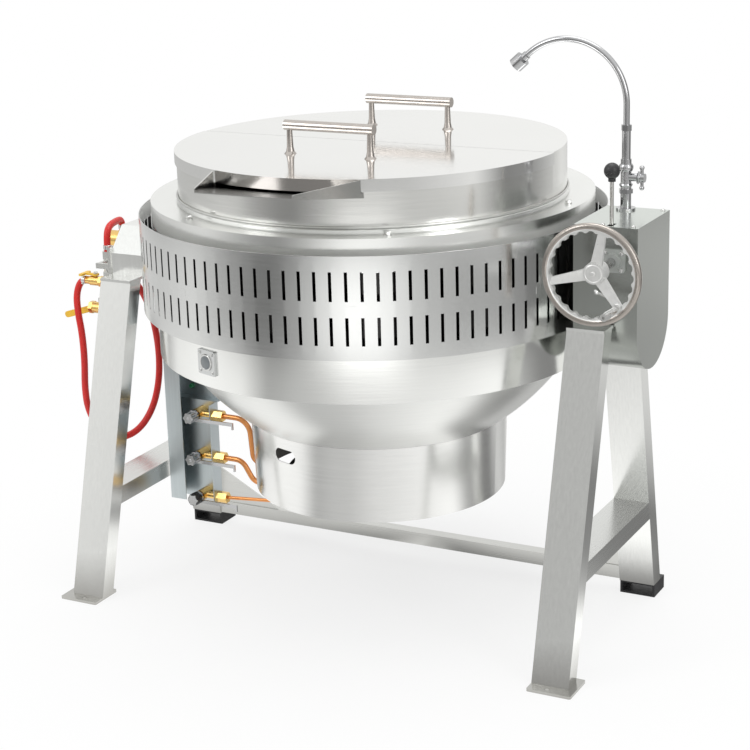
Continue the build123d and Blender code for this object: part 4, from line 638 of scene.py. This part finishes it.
add_piece("tap_nuts", tap_nuts, "chrome", "frame")
add_piece("lever_ends", lever_ends, "chrome", "tap_lever")
add_piece("nozzle_ring", nozzle_ring, "white", "swan_neck")


# Pieces on the gas side
gas_cock_x = -0.427


def knob_cap(height):
    def build(shape):
        turned(shape, ((0.0095, 0.0), (0.0095, 0.0022), (0.0080, 0.0032)),
               (gas_cock_x, -0.124, height), forward, 28)
        pan_head(shape, (gas_cock_x, -0.1272, height), forward, 0.007, 0.002)
    return build


def pilot_cap(shape):
    turned(shape, ((0.0150, 0.0), (0.0150, 0.012), (0.0130, 0.017)),
           (gas_cock_x, -0.1105, 0.170), forward, 12)


def earth_screw(shape):
    hexagon_head(shape, (-0.469, -0.037, 0.418), forward, 0.010, 0.008)


def clamp(place, way):
    """A hose clamp with its screw on one side."""
    def build(shape):
        turned(shape, ((0.0086, 0.0), (0.0094, 0.0008), (0.0094, 0.0092), (0.0086, 0.010)), place, way, 32)
        side = Vector(way).orthogonal().normalized()
        hexagon_head(shape, Vector(place) + Vector(way) * 0.005 + side * 0.0085, side, 0.006, 0.005)
    return build


def valve_nuts(shape):
    hexagon_head(shape, (-0.678, -0.071, 0.600), (0, 1, 0), 0.010, 0.006)
    hexagon_head(shape, (-0.678, -0.097, 0.681), (0, 0, 1), 0.009, 0.005)


add_piece("upper_knob_cap", knob_cap(0.369), "chrome", "lever_upper")
add_piece("middle_knob_cap", knob_cap(0.268), "chrome", "lever_middle")
add_piece("pilot_knob_cap", pilot_cap, "black_plastic", "lever_pilot")
add_piece("earth_screw", earth_screw, "green", "kettle")
add_piece("valve_nuts", valve_nuts, "screw", "frame")
for index, (place, way) in enumerate((
        ((-0.640, -0.097, 0.742), (0, 0, 1)), ((-0.656, -0.010, 0.771), (0, 0, 1)),
        ((-0.706, -0.097, 0.664), (-1, 0, 0)), ((-0.648, -0.010, 0.700), (0, 0, 1)))):
    add_piece("hose_clamp_%d" % index, clamp(place, way), "screw", "frame")


# Floor, surroundings and lights. Cards are (compass heading from 0 to 1, brightness). The camera sees none of
# them: the first three lists are for glossy rays that meet the floor, and the last one is the world's.
near_cards = (
    (0.00, 0.95), (0.07, 1.10), (0.14, 1.05), (0.18, 0.48), (0.22, 0.60), (0.26, 0.62), (0.31, 0.80),
    (0.38, 0.95), (0.49, 1.20), (0.525, 0.50), (0.56, 0.28), (0.61, 0.22), (0.65, 0.75), (0.71, 0.52),
    (0.77, 1.10), (0.86, 0.80), (0.91, 0.26), (0.96, 0.45), (1.00, 0.95),
)
middle_cards = (
    (0.00, 0.80), (0.075, 1.00), (0.13, 0.55), (0.175, 0.22), (0.20, 0.20), (0.235, 0.60), (0.29, 1.90),
    (0.335, 1.80), (0.38, 0.75), (0.43, 0.48), (0.50, 0.40), (0.547, 0.16), (0.60, 0.30), (0.66, 0.70),
    (0.72, 1.50), (0.80, 0.80), (1.00, 0.80),
)
far_cards = (
    (0.00, 0.55), (0.10, 0.58), (0.136, 0.38), (0.20, 0.26), (0.28, 0.42), (0.37, 0.55), (0.486, 0.85),
    (0.544, 0.24), (0.60, 0.30), (0.66, 0.55), (0.717, 0.85), (0.85, 0.55), (1.00, 0.55),
)
ring_cards = (
    (0.00, 0.95), (0.07, 1.10), (0.14, 1.00), (0.18, 0.45), (0.23, 0.60), (0.31, 0.80), (0.49, 1.20),
    (0.56, 0.20), (0.62, 0.20), (0.66, 0.60), (0.72, 0.80), (0.77, 0.98), (0.86, 0.90), (0.91, 0.45),
    (0.96, 0.60), (1.00, 0.95),
)


# Distances from the origin in metres between which one list of cards gives way to the next
middle_start = (2.55, 2.80)
far_start = (4.15, 4.50)
# Distances in metres that stand for 1 on the ramps of the cards and of the floor
card_reach = 10.0
floor_reach = 4.0
floor_half = 30
sky = (1.05, 1.06, 1.05)
white = (1, 1, 1)


def cards(nodes, vector, stops):
    """White and grey cards that stand round the product, by compass heading."""
    x, y, _ = nodes.split(vector)
    heading = nodes.math("MULTIPLY_ADD", nodes.math("ARCTAN2", y, x), 1 / (2 * math.pi), 0.5)
    return nodes.ramp(heading, [(place, (value, value, value * 0.985)) for place, value in stops])


def lay_floor():
    mesh = bpy.data.meshes.new("floor")
    shape = bmesh.new()
    bmesh.ops.create_grid(shape, x_segments=1, y_segments=1, size=floor_half)
    shape.to_mesh(mesh)
    shape.free()
    nodes = Nodes("floor_paint")
    nodes.tree.nodes.remove(nodes.shader)
    path = nodes.add("ShaderNodeLightPath")
    distance = nodes.add("ShaderNodeVectorMath", "LENGTH")
    nodes.link(nodes.object, distance.inputs[0])
    length = distance.outputs["Value"]

    # the camera sees a pale floor that turns white away from the product
    diffuse = nodes.add("ShaderNodeBsdfDiffuse")
    speckle = nodes.noise(nodes.object, 6, 2, 0.5)
    nodes.link(nodes.ramp(speckle, ((0.3, 0.80), (0.7, 0.82))), diffuse.inputs["Color"])
    far = nodes.ramp(nodes.math("DIVIDE", length, floor_reach), ((0.08, 0.74), (0.30, 1.0)))
    glow = nodes.add("ShaderNodeEmission")
    seen = nodes.add("ShaderNodeMixShader")
    nodes.link(nodes.math("MULTIPLY", far, path.outputs["Is Camera Ray"]), seen.inputs[0])
    nodes.link(diffuse.outputs[0], seen.inputs[1])
    nodes.link(glow.outputs[0], seen.inputs[2])

    # glossy rays see the cards
    shown = cards(nodes, nodes.object, near_cards)
    for stops, (start, end) in ((middle_cards, middle_start), (far_cards, far_start)):
        reached = nodes.ramp(nodes.math("DIVIDE", length, card_reach),
                             ((start / card_reach, 0.0), (end / card_reach, 1.0)))
        shown = nodes.mix(reached, shown, cards(nodes, nodes.object, stops))
    mirrored = nodes.add("ShaderNodeEmission")
    nodes.link(shown, mirrored.inputs["Color"])
    whole = nodes.add("ShaderNodeMixShader")
    nodes.link(path.outputs["Is Glossy Ray"], whole.inputs[0])
    nodes.link(seen.outputs[0], whole.inputs[1])
    nodes.link(mirrored.outputs[0], whole.inputs[2])
    nodes.link(whole.outputs[0], nodes.tree.nodes["Material Output"].inputs["Surface"])
    mesh.materials.append(nodes.material)
    floor = bpy.data.objects.new("floor", mesh)
    bpy.context.scene.collection.objects.link(floor)


def surroundings():
    """White to the camera, and a ring of cards under a pale sky to all other rays."""
    world = bpy.data.worlds.new("studio")
    bpy.context.scene.world = world
    world.use_nodes = True
    nodes = Tree(world.node_tree)
    place = nodes.add("ShaderNodeTexCoord").outputs["Generated"]
    height = nodes.ramp(nodes.split(place)[2], ((0.25, 0.0), (0.75, 1.0)))
    dome = nodes.mix(height, cards(nodes, place, ring_cards), sky)
    path = nodes.add("ShaderNodeLightPath")
    background = nodes.tree.nodes["Background"]
    nodes.link(nodes.mix(path.outputs["Is Camera Ray"], dome, white), background.inputs["Color"])
    background.inputs["Strength"].default_value = 1.0


def lamp(name, place, aim, power, size):
    """A rectangular lamp of a power in watts."""
    data = bpy.data.lights.new(name, "AREA")
    data.shape = "RECTANGLE"
    data.size, data.size_y = size
    data.energy = power
    light = bpy.data.objects.new(name, data)
    light.location = place
    light.rotation_euler = (Vector(aim) - Vector(place)).to_track_quat("-Z", "Y").to_euler()
    bpy.context.scene.collection.objects.link(light)


lay_floor()
surroundings()
lamp("key", (-2.6, -3.4, 3.6), (0, 0, 0.7), 42, (1.6, 2.4))
lamp("side", (3.6, -1.6, 2.4), (0.2, 0, 0.7), 20, (1.0, 2.2))
lamp("top", (0.2, 0.6, 4.2), (0, 0, 0.8), 36, (2.6, 2.0))

bpy.context.scene.view_settings.view_transform = "Standard"
